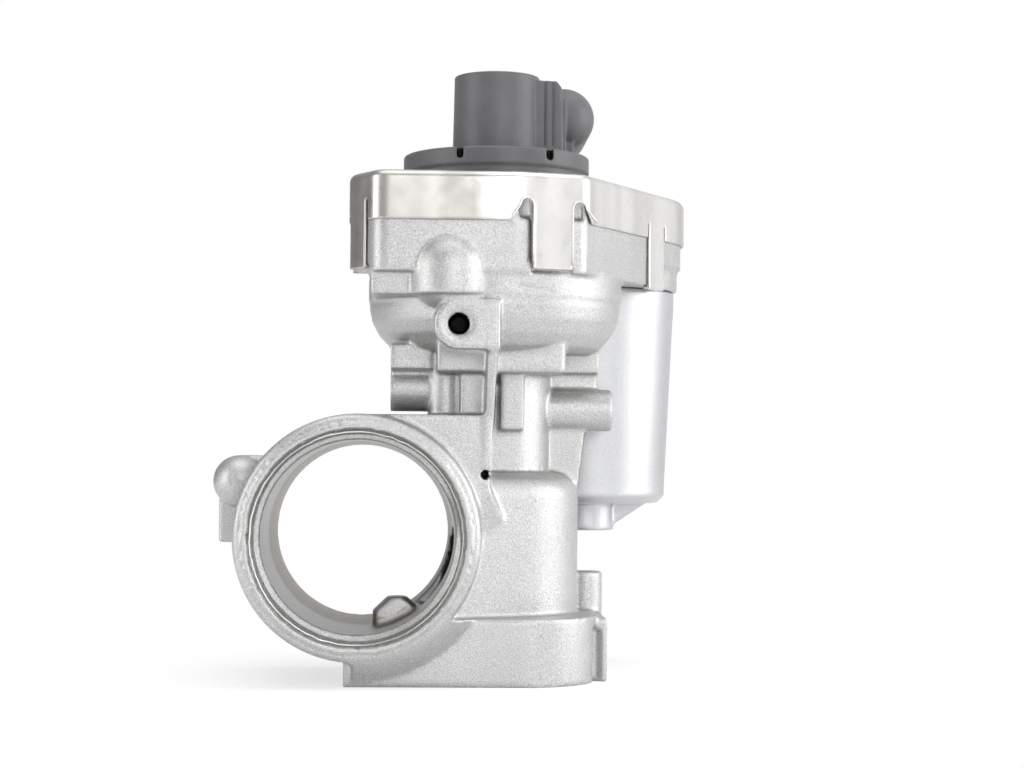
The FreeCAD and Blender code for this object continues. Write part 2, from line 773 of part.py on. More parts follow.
def body_machining():
    """The machined bores, recesses, threads and screw holes."""
    reach = 2
    tools = [
        cylinder("sleeve_recess_cut", "sleeve_flange", "floor_thickness + 1", z="case_low"),
        cylinder("motor_pilot_cut", "pilot_radius", "20", MOTOR_X, MOTOR_Y, "case_low - 5"),
        cylinder("axle_hole_cut", "axle_radius", "20", IDLER_X, IDLER_Y, "case_low - 5"),
        cylinder("inlet_recess_cut", "inlet_recess", f"inlet_recess_depth + {reach}", z=-reach),
        cylinder("inlet_bore_cut", "inlet_bore", f"{SEAT_TOP} + {reach}", z=-reach),
        cylinder("seat_lip_cut", "seat_bore + seat_ledge", "base_height + 1"),
        cylinder("stem_bore_cut", "stem_bore", "bowl_floor - 30 + 1", z=30),
        cylinder("seal_recess_cut", "stem_bore + 1.5", "5", z="bowl_floor - 4"),
        cylinder(
            "pipe_seat_cut", "pipe_seat", f"pipe_seat_depth + {reach}", "-pipe_offset", f"-pipe_front - {reach}",
            "pipe_height", "Y",
        ),
        cone("pipe_mouth_cut", "pipe_mouth", "pipe_seat", "2.4", "-pipe_offset", "-pipe_front", "pipe_height", "Y"),
        cylinder(
            "ear_hole_cut", "ear_hole", f"ear_thickness + {reach}", "-ear_across", f"-ear_front - {reach}",
            "ear_height", "Y",
        ),
        cone("ear_chamfer", "ear_hole + 1.6", "ear_hole", "1", "-ear_across", "-ear_front", "ear_height", "Y"),
        cylinder("vent_cut", "1.4", "12", "-3.7", "-plate_front - 2", "65.5", "Y"),
        cylinder("bolt_hole_right", "bolt_hole", f"bolt_boss_top - 8 + {reach}", BOLT_X, BOLT_Y, -reach),
        cylinder("bolt_hole_left", "bolt_hole", f"base_height - 3 + {reach}", f"-({BOLT_X})", f"-({BOLT_Y})", -reach),
    ]
    for side, depth in (("left", "flange_hole_depth"), ("right", "flange_thickness - 2")):
        x, z = flange_place(side)
        tools.append(cylinder(f"flange_hole_{side}", "flange_hole", f"{depth} + 1", x, f"base_back - ({depth})", z, "Y"))
    for number, angle in enumerate(CAN_SCREW_ANGLES):
        x, y = motor_polar("can_screw_circle", angle)
        tools.append(cylinder(f"can_screw_hole_{number}", "screw_radius", "12", x, y, "case_low - 2"))
    for number, turn in enumerate(MOTOR_SCREW_TURNS):
        x, y = motor_polar("motor_screw_circle", f"train_angle + {turn}")
        tools.append(cylinder(f"motor_screw_hole_{number}", "screw_radius", "12", x, y, "case_low - 2"))
    return tools + [crimp_notch(tab) for tab in TABS]


# Cover tabs: name, the wall that they hang from, place along it, width, height of the lip's top and
# the round-topped reliefs beside the tab (width, height at the near end, height at the far end).
TABS = [
    ("left", 5, "6.6", "left_tab_width", "130", ("1.6", "2.5", "6.6")),
    ("front", 1, "3.65", "front_tab_width", "130", ("4.6", "7.1", "6.6")),
    ("right", 2, "36.2", "tab_width", "case_low", ("0.9", "5.0", "5.0")),
    ("back", 3, "-12", "tab_width", "130", ("1.0", "2.5", "2.5")),
]


def wall_block(name, wall, along, width, depth_range, z_range):
    """A box on a gear case wall: its depths are distances inward from the cover's outer face."""
    facing, distance, corner = CASE_WALLS[wall]
    outer, inner = depth_range
    made = doc.addObject("Part::Box", name)
    made.Placement = Placement(Vector(), Rotation(Vector(0, 0, 1), facing))
    bind(made, Length=f"({inner}) - ({outer})", Width=width, Height=f"({z_range[1]}) - ({z_range[0]})")
    out = f"({distance} - ({inner}))"
    side = f"({along} - ({width}) / 2)"
    place(
        made,
        f"{out} * cos({facing}) - {side} * sin({facing})",
        f"{out} * sin({facing}) + {side} * cos({facing})",
        z_range[0],
    )
    return made


def wall_hole(name, wall, along, radius, height):
    """A round hole tool through a gear case wall, square to it."""
    facing, distance, corner = CASE_WALLS[wall]
    made = doc.addObject("Part::Cylinder", name)
    made.Placement = Placement(Vector(), Rotation(Vector(0, 0, 1), facing) * AXES["X"])
    bind(made, Radius=radius, Height="sheet + 3")
    out = f"({distance} - sheet - 1)"
    place(
        made,
        f"{out} * cos({facing}) - ({along}) * sin({facing})",
        f"{out} * sin({facing}) + ({along}) * cos({facing})",
        height,
    )
    return made


def crimp_notch(tab):
    """The notch in the rim's lower edge that takes a tab's lip."""
    side, wall, along, width, lip_top, relief = tab
    return wall_block(
        f"crimp_notch_{side}", wall, along, f"{width} + 1", ("-10", f"{CASE_INSET} + tab_lip + 0.4"),
        (f"{lip_top} - sheet - 1", lip_top),
    )


def make_body():
    """The main casting."""
    solid = fuse(
        "body_solid", base_flange(), chamber(), plate_foot(), *air_pipe(), *rear_flange(), *neck(), *ear(), bowl(),
        *gear_case_shell(),
    )
    opened = cut("body_opened", solid, *body_openings())
    bossed = fuse("body_bossed", opened, *inner_boss())
    return cut("valve_body", bossed, *body_machining())


# Cover and its seals
def make_cover():
    """The stamped cover: rounded top sheet, skirt, crimp tabs with lips, and the sensor's hole."""
    outer = case_prism("cover_outer", "0", "skirt_low", COVER_TOP)
    inner = case_prism("cover_inner", "sheet", "skirt_low - 1", f"{COVER_TOP} - sheet")

    def top_of(raw):
        return lambda edge: abs(edge.BoundBox.ZMin - raw.Shape.BoundBox.ZMax) < 0.01

    outer_round = rounded("cover_outer_round", outer, "cover_edge", top_of(outer))
    inner_round = rounded("cover_inner_round", inner, "cover_edge - sheet", top_of(inner))
    hole = cylinder("cover_hole_cut", "cover_hole", "10", z=f"{COVER_TOP} - 5")
    reliefs = []
    parts = []
    for side, wall, along, width, lip_top, relief in TABS:
        low = f"{lip_top} - sheet"
        parts.append(wall_block(f"tab_{side}", wall, along, width, ("0", "sheet"), (low, "skirt_low + 3")))
        parts.append(wall_block(f"tab_lip_{side}", wall, along, width, ("0", f"{CASE_INSET} + tab_lip"), (low, lip_top)))
        for end, sign, height in (("a", "-", relief[1]), ("b", "+", relief[2])):
            middle = f"{along} {sign} ({width} / 2 + {relief[0]} / 2)"
            top = f"skirt_low + {height} - {relief[0]} / 2"
            reliefs.append(
                wall_block(
                    f"relief_{side}_{end}", wall, middle, relief[0], ("-2", "sheet + 1"), ("skirt_low - 1", top)
                )
            )
            reliefs.append(wall_hole(f"relief_top_{side}_{end}", wall, middle, f"{relief[0]} / 2", top))
    shell = cut("cover_shell", outer_round, inner_round, hole, *reliefs)
    return fuse("gear_cover", shell, *parts)


def make_gasket():
    """The flat gasket between cover and rim."""
    outer = case_prism("gasket_outer", "gasket_inset", "case_top", f"{COVER_TOP} - sheet")
    inner = case_prism("gasket_inner", CAVITY_INSET, "case_top - 1", COVER_TOP)
    return cut("cover_gasket", outer, inner)


# Position sensor
def make_sensor():
    """The moulded sensor housing: base disc with lip and notches, tower, rib block and connector."""
    disc = turned(
        "sensor_disc",
        [
            ("0", f"{DISC_LOW} - 2 - spigot_depth + 2.2"),
            ("cover_hole - 1", f"{DISC_LOW} - 2 - spigot_depth + 2.2"),
            ("cover_hole + 0.6", f"{DISC_LOW} - 4.2"),
            ("cover_hole + 0.6", f"{COVER_TOP} - sheet"),
            ("cover_hole", f"{COVER_TOP} - sheet"),
            ("cover_hole", COVER_TOP),
            ("disc_radius - 0.9", COVER_TOP),
            ("disc_radius - 0.9", f"{DISC_LOW} + 1.8"),
            ("disc_radius", f"{DISC_LOW} + 1.8"),
            ("disc_radius", f"{DISC_TOP} - 0.6"),
            ("disc_radius - 0.6", DISC_TOP),
            ("0", DISC_TOP),
        ],
    )
    tower = cone("sensor_tower", "tower_radius + 0.5", "tower_radius", f"{TOWER_TOP} - {DISC_TOP} + 1.2", z=f"{DISC_TOP} - 1")
    tower_cap = cylinder("sensor_tower_cap", "tower_radius - 0.7", f"{TOWER_TOP} - {DISC_TOP}", z=DISC_TOP)
    ribs = prism(
        "sensor_ribs",
        [
            ("0", f"{DISC_TOP} - 1"),
            ("21.4", f"{DISC_TOP} - 1"),
            ("20.9", f"{TOWER_TOP} - 3.8"),
            ("19.2", f"{TOWER_TOP} - 1.6"),
            ("0", f"{TOWER_TOP} - 0.8"),
        ],
        "-7",
        "8",
        "Y",
    )
    grooves = [
        block(f"rib_groove_{i}", (f"{x}", f"{x} + 1.1"), ("-8", "-6.5"), (f"{DISC_TOP} + 3", f"{TOWER_TOP} + 2"))
        for i, x in enumerate(("14.6", "17.2"))
    ]
    barrel = cylinder(
        "connector_barrel", "barrel_radius", "barrel_back - barrel_front", "barrel_across", "barrel_front",
        BARREL_HEIGHT, "Y",
    )
    nose = ball("connector_nose", "barrel_radius", "barrel_across", "barrel_front", BARREL_HEIGHT)
    arm = block(
        "connector_arm", ("0", "barrel_across"), ("0", "barrel_front + 8"), (f"{DISC_TOP} - 1", f"{BARREL_HEIGHT} + 5")
    )
    post = block(
        "connector_post", ("barrel_across - 5", "barrel_across + 3"), ("barrel_front - 6", "barrel_front + 14"),
        (f"{DISC_TOP} - 1", BARREL_HEIGHT),
    )
    notches = [
        block(f"disc_notch_{i}", (f"{x}", f"{x} + 1.9"), ("-disc_radius - 2", "-disc_radius + 1.6"), (low, f"{DISC_TOP} + 1"))
        for i, (x, low) in enumerate((("-13.4", f"{DISC_TOP} - 4.4"), ("14.6", f"{DISC_TOP} - 4.4")))
    ]
    hollow = turned(
        "sensor_hollow",
        [
            ("0", "0"),
            ("board_radius", "0"),
            ("board_radius", f"{DISC_LOW} + 3"),
            ("tower_bore", f"{DISC_LOW} + 3"),
            ("tower_bore", f"{TOWER_TOP} - 4.5"),
            ("0", f"{TOWER_TOP} - 2.9"),
        ],
    )
    socket = cylinder(
        "connector_socket", "barrel_bore", "barrel_floor + 1", "barrel_across", "barrel_back - barrel_floor + 1",
        BARREL_HEIGHT, "Y",
    )
    groove = cut(
        "seal_groove",
        cylinder("seal_groove_outer", "cover_hole + 4.6", "1.6", z=f"{COVER_TOP} - 0.2"),
        cylinder("seal_groove_inner", "cover_hole + 2.2", "3", z=f"{COVER_TOP} - 1"),
    )
    solid = fuse("sensor_solid", disc, tower, tower_cap, ribs, barrel, nose, arm, post)
    return cut("sensor_housing", solid, hollow, socket, groove, *grooves, *notches, *pin_blades("pin_slot"))


PIN_PLACES = [("-1.5", "0.6"), ("0", "0.6"), ("1.5", "0.6"), ("-1", "-0.6"), ("1", "-0.6")]


def pin_blades(name):
    """The five flat blades of the connector."""
    return [
        block(
            f"{name}_{i}",
            (
                f"barrel_across + ({u}) * contact_pitch - contact_size",
                f"barrel_across + ({u}) * contact_pitch + contact_size",
            ),
            ("barrel_front + 2", "barrel_back - 8"),
            (
                f"{BARREL_HEIGHT} + ({v}) * 2 * contact_pitch - contact_size / 2",
                f"{BARREL_HEIGHT} + ({v}) * 2 * contact_pitch + contact_size / 2",
            ),
        )
        for i, (u, v) in enumerate(PIN_PLACES)
    ]


def ring(name, inner, outer, low, high):
    """A plain ring about the stem axis."""
    return turned(name, [(inner, low), (outer, low), (outer, high), (inner, high)])


def make_sensor_insides():
    """The seal, blades, board, coil and plunger of the position sensor."""
    node("sensor_seal", ring("sensor_seal", "cover_hole + 2.2", "cover_hole + 4.6", COVER_TOP, f"{COVER_TOP} + 1.4"))
    node("connector_pins", doc.addObject("Part::Compound", "connector_pins")).Links = pin_blades("pin")
    node("sensor_board", ring("sensor_board", "coil_bore + 0.4", "board_radius", f"{DISC_LOW} + 1.4", f"{DISC_LOW} + 3"))
    coil = [
        ("coil_bore", f"{DISC_LOW} + 3"),
        ("tower_bore", f"{DISC_LOW} + 3"),
        ("tower_bore", f"{DISC_LOW} + 4"),
        ("tower_bore - 0.8", f"{DISC_LOW} + 4"),
        ("tower_bore - 0.8", f"{TOWER_TOP} - 7"),
        ("tower_bore", f"{TOWER_TOP} - 7"),
        ("tower_bore", f"{TOWER_TOP} - 6"),
        ("coil_bore", f"{TOWER_TOP} - 6"),
    ]
    node("sensor_coil", turned("sensor_coil", coil))
    plunger = [
        ("0", "stem_top"),
        ("stem_radius", "stem_top"),
        ("stem_radius", "plunger_low"),
        ("plunger_radius", "plunger_low"),
        ("plunger_radius", "plunger_low + plunger_length - 1"),
        ("plunger_radius - 1", "plunger_low + plunger_length"),
        ("0", "plunger_low + plunger_length"),
    ]
    node("sensor_plunger", turned("sensor_plunger", plunger))


# Gear train. Each gear is a turned blank with one tooth space cut and repeated about its axis.
def tooth_space(teeth, middle):
    """The outline of one tooth space: involute flanks between root and tip, about a direction."""
    pitch = f"(gear_module * {teeth} / 2)"
    base = f"({pitch} * cos({PRESSURE_ANGLE}))"
    tip = f"({pitch} + {ADDENDUM} * gear_module)"
    root = f"({pitch} - {DEDENDUM} * gear_module)"
    foot = f"max({base} * 1.0005; {root})"
    radii = [foot] + [f"({foot} + ({tip} - {foot}) * {share})" for share in (0.3, 0.65, 1.06)]

    def half_angle(radius):
        flank = f"acos({base} / {radius})"
        turned_by = f"(tan({flank}) - tan({PRESSURE_ANGLE})) * 180 / pi - {flank} / 1 deg + {PRESSURE_ANGLE}"
        return f"(90 / {teeth} + backlash / {pitch} * 45 / pi + {turned_by})"

    def at(radius, angle):
        return f"{radius} * cos({middle} + {angle})", f"{radius} * sin({middle} + {angle})"

    steps = [(root, f"0.9 * {half_angle(foot)}")]
    steps += [(radius, half_angle(radius)) for radius in radii]
    steps.append((f"({tip} + gear_module)", half_angle(radii[-1])))
    flank = [at(radius, f"1 * {angle}") for radius, angle in steps]
    other = [at(radius, f"-1 * {angle}") for radius, angle in steps]
    return flank + other[::-1]


def notched(name, section, outline, count):
    """A turned piece with one outline cut right through it and repeated about its axis."""
    body = turned(name, section)
    sketch = body.newObject("Sketcher::SketchObject", name + "_space")
    plane = [f for f in body.Origin.OriginFeatures if f.Role == "XY_Plane"][0]
    sketch.AttachmentSupport = [(plane, "")]
    sketch.MapMode = "FlatFace"
    draw_polygon(sketch, outline)
    gap = body.newObject("PartDesign::Pocket", name + "_gap")
    gap.Profile = sketch
    gap.Type = "ThroughAll"
    gap.Reversed = True
    doc.recompute()
    pattern = body.newObject("PartDesign::PolarPattern", name + "_pattern")
    pattern.Originals = [gap]
    pattern.Axis = (sketch, ["N_Axis"])
    pattern.Angle = 360
    bind(pattern, Occurrences=count)
    body.Tip = pattern
    return body


def toothed(name, teeth, bore, low, high, middle):
    """A toothed ring with one tooth space on the given direction."""
    tip = f"gear_module * {teeth} / 2 + {ADDENDUM} * gear_module"
    section = [(bore, low), (tip, low), (tip, high), (bore, high)]
    return notched(name, section, tooth_space(teeth, middle), teeth)


GEAR_LOW = f"{FLOOR_TOP} + 0.5"
OUTPUT_TOP = f"{GEAR_LOW} + 0.5 + output_face"
LARGE_LOW = f"{OUTPUT_TOP} + gear_gap"
LARGE_TOP = f"{LARGE_LOW} + idler_face"
SLOT_PITCH = "valve_lift * 360 / cam_turn"
HUB_BORE = "sleeve_radius + 0.3"
PIN_LOW = "pin_height - valve_lift"


def make_output_gear():
    """The output gear: toothed rim, web and a cam hub with two opposite helical slots."""
    rim = toothed(
        "output_rim", "output_teeth", "gear_module * output_teeth / 2 - 4", f"{GEAR_LOW} + 0.5", OUTPUT_TOP,
        "train_angle",
    )
    web = ring("output_web", "hub_radius - 1", "gear_module * output_teeth / 2 - 3.5", f"{GEAR_LOW} + 1.5", f"{GEAR_LOW} + 4.5")
    bush_top = f"{GEAR_LOW} + 8"
    hub = turned(
        "output_hub",
        [
            ("sleeve_radius + bush_wall", GEAR_LOW),
            ("hub_radius", GEAR_LOW),
            ("hub_radius", "hub_top"),
            (HUB_BORE, "hub_top"),
            (HUB_BORE, bush_top),
            ("sleeve_radius + bush_wall", bush_top),
        ],
    )
    sketch = hub.newObject("Sketcher::SketchObject", "cam_section")
    plane = [f for f in hub.Origin.OriginFeatures if f.Role == "XZ_Plane"][0]
    sketch.AttachmentSupport = [(plane, "")]
    sketch.MapMode = "FlatFace"
    half = f"((pin_radius + pin_gap) / cos(atan({SLOT_PITCH} / (2 * pi * sleeve_radius))))"
    start = f"{PIN_LOW} - ({SLOT_PITCH}) * slot_lead / 360"
    draw_polygon(
        sketch,
        [
            ("sleeve_radius - 1", f"{start} - {half}"),
            ("hub_radius + 1", f"{start} - {half}"),
            ("hub_radius + 1", f"{start} + {half}"),
            ("sleeve_radius - 1", f"{start} + {half}"),
        ],
    )
    doc.recompute()
    slot = hub.newObject("PartDesign::SubtractiveHelix", "cam_slot")
    slot.Profile = sketch
    slot.ReferenceAxis = (sketch, ["V_Axis"])
    slot.Mode = 0
    bind(slot, Pitch=SLOT_PITCH, Height=f"({SLOT_PITCH}) * (cam_turn + 2 * slot_lead) / 360")
    doc.recompute()
    pair = hub.newObject("PartDesign::PolarPattern", "cam_slots")
    pair.Originals = [slot]
    pair.Axis = (sketch, ["V_Axis"])
    pair.Angle = 360
    pair.Occurrences = 2
    hub.Tip = pair
    hub.setExpression("Placement.Rotation.Angle", formula("-(cam_turn + slot_lead)"))
    return fuse("output_gear", hub, web, rim)


def make_gear_train():
    """The output gear with its bush, clip and sleeve, the idler with its axle and the pinion."""
    node("output_gear", make_output_gear())
    node(
        "gear_bush",
        ring("gear_bush", "sleeve_radius + running_gap", "sleeve_radius + bush_wall", GEAR_LOW, f"{GEAR_LOW} + 8"),
    )
    slot_half = "(pin_radius + pin_gap)"
    sleeve = turned(
        "sleeve_blank",
        [
            ("sleeve_bore", "case_low"),
            ("sleeve_flange", "case_low"),
            ("sleeve_flange", FLOOR_TOP),
            ("sleeve_radius", FLOOR_TOP),
            ("sleeve_radius", "hub_top + 0.4"),
            ("sleeve_radius - 0.8", "hub_top + 0.4"),
            ("sleeve_radius - 0.8", "hub_top + 1.4"),
            ("sleeve_radius", "hub_top + 1.4"),
            ("sleeve_radius", "sleeve_top"),
            ("sleeve_bore", "sleeve_top"),
        ],
    )
    slots = block(
        "sleeve_slots", ("-20", "20"), (f"-{slot_half}", slot_half),
        (f"{PIN_LOW} - {slot_half}", f"pin_height + {slot_half}"),
    )
    node("guide_sleeve", cut("guide_sleeve", sleeve, slots))
    clip = ring("clip_ring", "sleeve_radius - 0.8", "sleeve_radius + 2.6", "hub_top + 0.4", "hub_top + 1.4")
    node("gear_clip", cut("gear_clip", clip, block("clip_mouth", ("0", "20"), ("-2.5", "2.5"), ("hub_top", "hub_top + 3"))))
    small = toothed(
        "idler_small", "pinion_teeth", "axle_radius + running_gap", GEAR_LOW, f"{LARGE_LOW} + 0.5",
        "train_angle + 180 + 180 / pinion_teeth",
    )
    large = toothed(
        "idler_large", "idler_teeth", "axle_radius + running_gap", LARGE_LOW, LARGE_TOP, "train_angle"
    )
    idler = fuse("idler_gear", small, large)
    place(idler, IDLER_X, IDLER_Y)
    node("idler_gear", idler)
    axle = turned(
        "idler_axle",
        [
            ("0", "case_low"),
            ("axle_radius", "case_low"),
            ("axle_radius", f"{LARGE_TOP} + 0.3"),
            ("axle_radius + 1.6", f"{LARGE_TOP} + 0.3"),
            ("axle_radius + 1.6", f"{LARGE_TOP} + 1.5"),
            ("0", f"{LARGE_TOP} + 1.5"),
        ],
    )
    place(axle, IDLER_X, IDLER_Y)
    node("idler_axle", axle)
    pinion = toothed(
        "motor_pinion", "pinion_teeth", "shaft_radius", f"{LARGE_LOW} - 1.5", f"{LARGE_LOW} - 1.5 + pinion_face",
        "train_angle + 180 + 180 / pinion_teeth",
    )
    place(pinion, MOTOR_X, MOTOR_Y)
    node("motor_pinion", pinion)


# Valve
def make_valve():
    """The stem with its pin, head, seat, guide, seal, spring and retainer."""
    stem = cylinder("stem_rod", "stem_radius", f"stem_top - ({SEAT_LOW}) + 4", z=f"{SEAT_LOW} - 4")
    hole = cylinder("stem_cross_hole", "pin_radius", "20", "-10", "0", "pin_height", "X")
    node("valve_stem", cut("valve_stem", stem, hole))
    node("drive_pin", cylinder("drive_pin", "pin_radius", "2 * pin_reach", "-pin_reach", "0", "pin_height", "X"))
    face = f"{SEAT_LOW} - head_gap"
    head = [
        ("stem_radius", f"{SEAT_LOW} - 4"),
        ("head_radius - 1", f"{SEAT_LOW} - 4"),
        ("head_radius", f"{face} - 2.6"),
        ("head_radius", face),
        ("seat_bore - 1", face),
        ("seat_bore - 4", f"{face} + 1.6"),
        ("stem_radius + 1.5", f"{face} + 3.4"),
        ("stem_radius", f"{face} + 8"),
    ]
    node("valve_head", turned("valve_head", head))
    node("valve_seat", ring("valve_seat", "seat_bore", "inlet_bore", SEAT_LOW, SEAT_TOP))
    node("stem_guide", ring("stem_guide", "stem_radius + running_gap", "stem_bore", "chamber_ceiling + 2", "chamber_ceiling + 2 + guide_length"))
    node("stem_seal", ring("stem_seal", "stem_radius + running_gap", "stem_bore + 1.5", "bowl_floor - 4", "bowl_floor"))
    low = f"{RETAINER_TOP} - retainer_thickness"
    retainer = [
        ("stem_radius", low),
        ("spring_radius - 1.6", f"{low} - 1.6"),
        ("spring_radius - 1.4", low),
        ("retainer_radius", low),
        ("retainer_radius", RETAINER_TOP),
        ("stem_radius", RETAINER_TOP),
    ]
    node("spring_retainer", turned("spring_retainer", retainer))
    node("return_spring", make_spring(low))


def make_spring(top):
    """The return spring: eight-sided wire in a helix between the bowl's floor and the retainer."""
    body = doc.addObject("PartDesign::Body", "return_spring")
    sketch = body.newObject("Sketcher::SketchObject", "spring_section")
    plane = [f for f in body.Origin.OriginFeatures if f.Role == "XZ_Plane"][0]
    sketch.AttachmentSupport = [(plane, "")]
    sketch.MapMode = "FlatFace"
    corners = [
        (
            f"spring_radius + spring_wire * cos({angle}) / cos(22.5)",
            f"bowl_floor + spring_wire + spring_wire * sin({angle}) / cos(22.5)",
        )
        for angle in (22.5, 67.5, 112.5, 157.5, 202.5, 247.5, 292.5, 337.5)
    ]
    draw_polygon(sketch, corners)
    doc.recompute()
    coil = body.newObject("PartDesign::AdditiveHelix", "spring_coil")
    coil.Profile = sketch
    coil.ReferenceAxis = (sketch, ["V_Axis"])
    coil.Mode = 0
    rise = f"({top} - bowl_floor - 2 * spring_wire)"
    bind(coil, Pitch=f"{rise} / spring_turns", Height=rise)
    body.Tip = coil
    return body


# Motor
CAN_SECTION = [
    ("0", "can_low"),
    ("can_foot_radius - 2.5", "can_low"),
    ("can_foot_radius", "can_low + 2.5"),
    ("can_foot_radius", CAN_BAND),
    ("can_radius - 0.4", "case_low - 12"),
    ("can_radius", "case_low - 6"),
    ("can_radius", "case_low"),
    ("can_bore", "case_low"),
    ("can_bore", f"{CAN_BAND} - 1"),
    ("0", f"{CAN_BAND} - 1"),
]


def make_can():
    """The cast motor can with its foot boss and the gusset beside it."""
    can = turned("can_shell", CAN_SECTION)
    boss = cylinder("can_boss", "can_boss_radius", "can_low - can_boss_low + 2", z="can_boss_low")
    gusset = prism(
        "can_gusset",
        [
            ("0", "can_boss_low + 2"),
            ("can_boss_radius", "can_boss_low + 2"),
            ("can_foot_radius - 6", "can_low"),
            ("can_foot_radius - 6", "can_low + 3"),
            ("0", "can_low + 3"),
        ],
        "-3",
        "3",
        "Y",
    )
    solid = fuse("can_solid", can, boss, gusset)
    place(solid, MOTOR_X, MOTOR_Y)
    holes = []
    for number, angle in enumerate(CAN_SCREW_ANGLES):
        x, y = motor_polar("can_screw_circle", angle)
        holes.append(cylinder(f"can_thread_{number}", "screw_radius", "12", x, y, "case_low - 10"))
    return cut("motor_can", solid, *holes)


def screws(name, places, length):
    """Socket-less cap screws standing on the gear case floor, all in one node."""
    group = doc.addObject("Part::Compound", name)
    links = []
    for number, (x, y) in enumerate(places):
        screw = turned(
            f"{name}_{number}",
            [
                ("0", f"{FLOOR_TOP} - ({length})"),
                ("screw_radius", f"{FLOOR_TOP} - ({length})"),
                ("screw_radius", FLOOR_TOP),
                ("screw_head", FLOOR_TOP),
                ("screw_head", f"{FLOOR_TOP} + screw_head_height - 0.4"),
                ("screw_head - 0.4", f"{FLOOR_TOP} + screw_head_height"),
                ("screw_head / 2", f"{FLOOR_TOP} + screw_head_height"),
                ("screw_head / 2", f"{FLOOR_TOP} + screw_head_height - 1.3"),
                ("0", f"{FLOOR_TOP} + screw_head_height - 1.3"),
            ],
        )
        place(screw, x, y)
        links.append(screw)
    group.Links = links
    return group


CORE_LOW = f"{CAN_BAND} + 15"
CORE_HIGH = f"{CAN_BAND} + 43"
COMMUTATOR_RADIUS = "6.5"


def at_motor(thing):
    """Moves a piece built about the stem axis to the motor's axis."""
    place(thing, MOTOR_X, MOTOR_Y)
    return thing


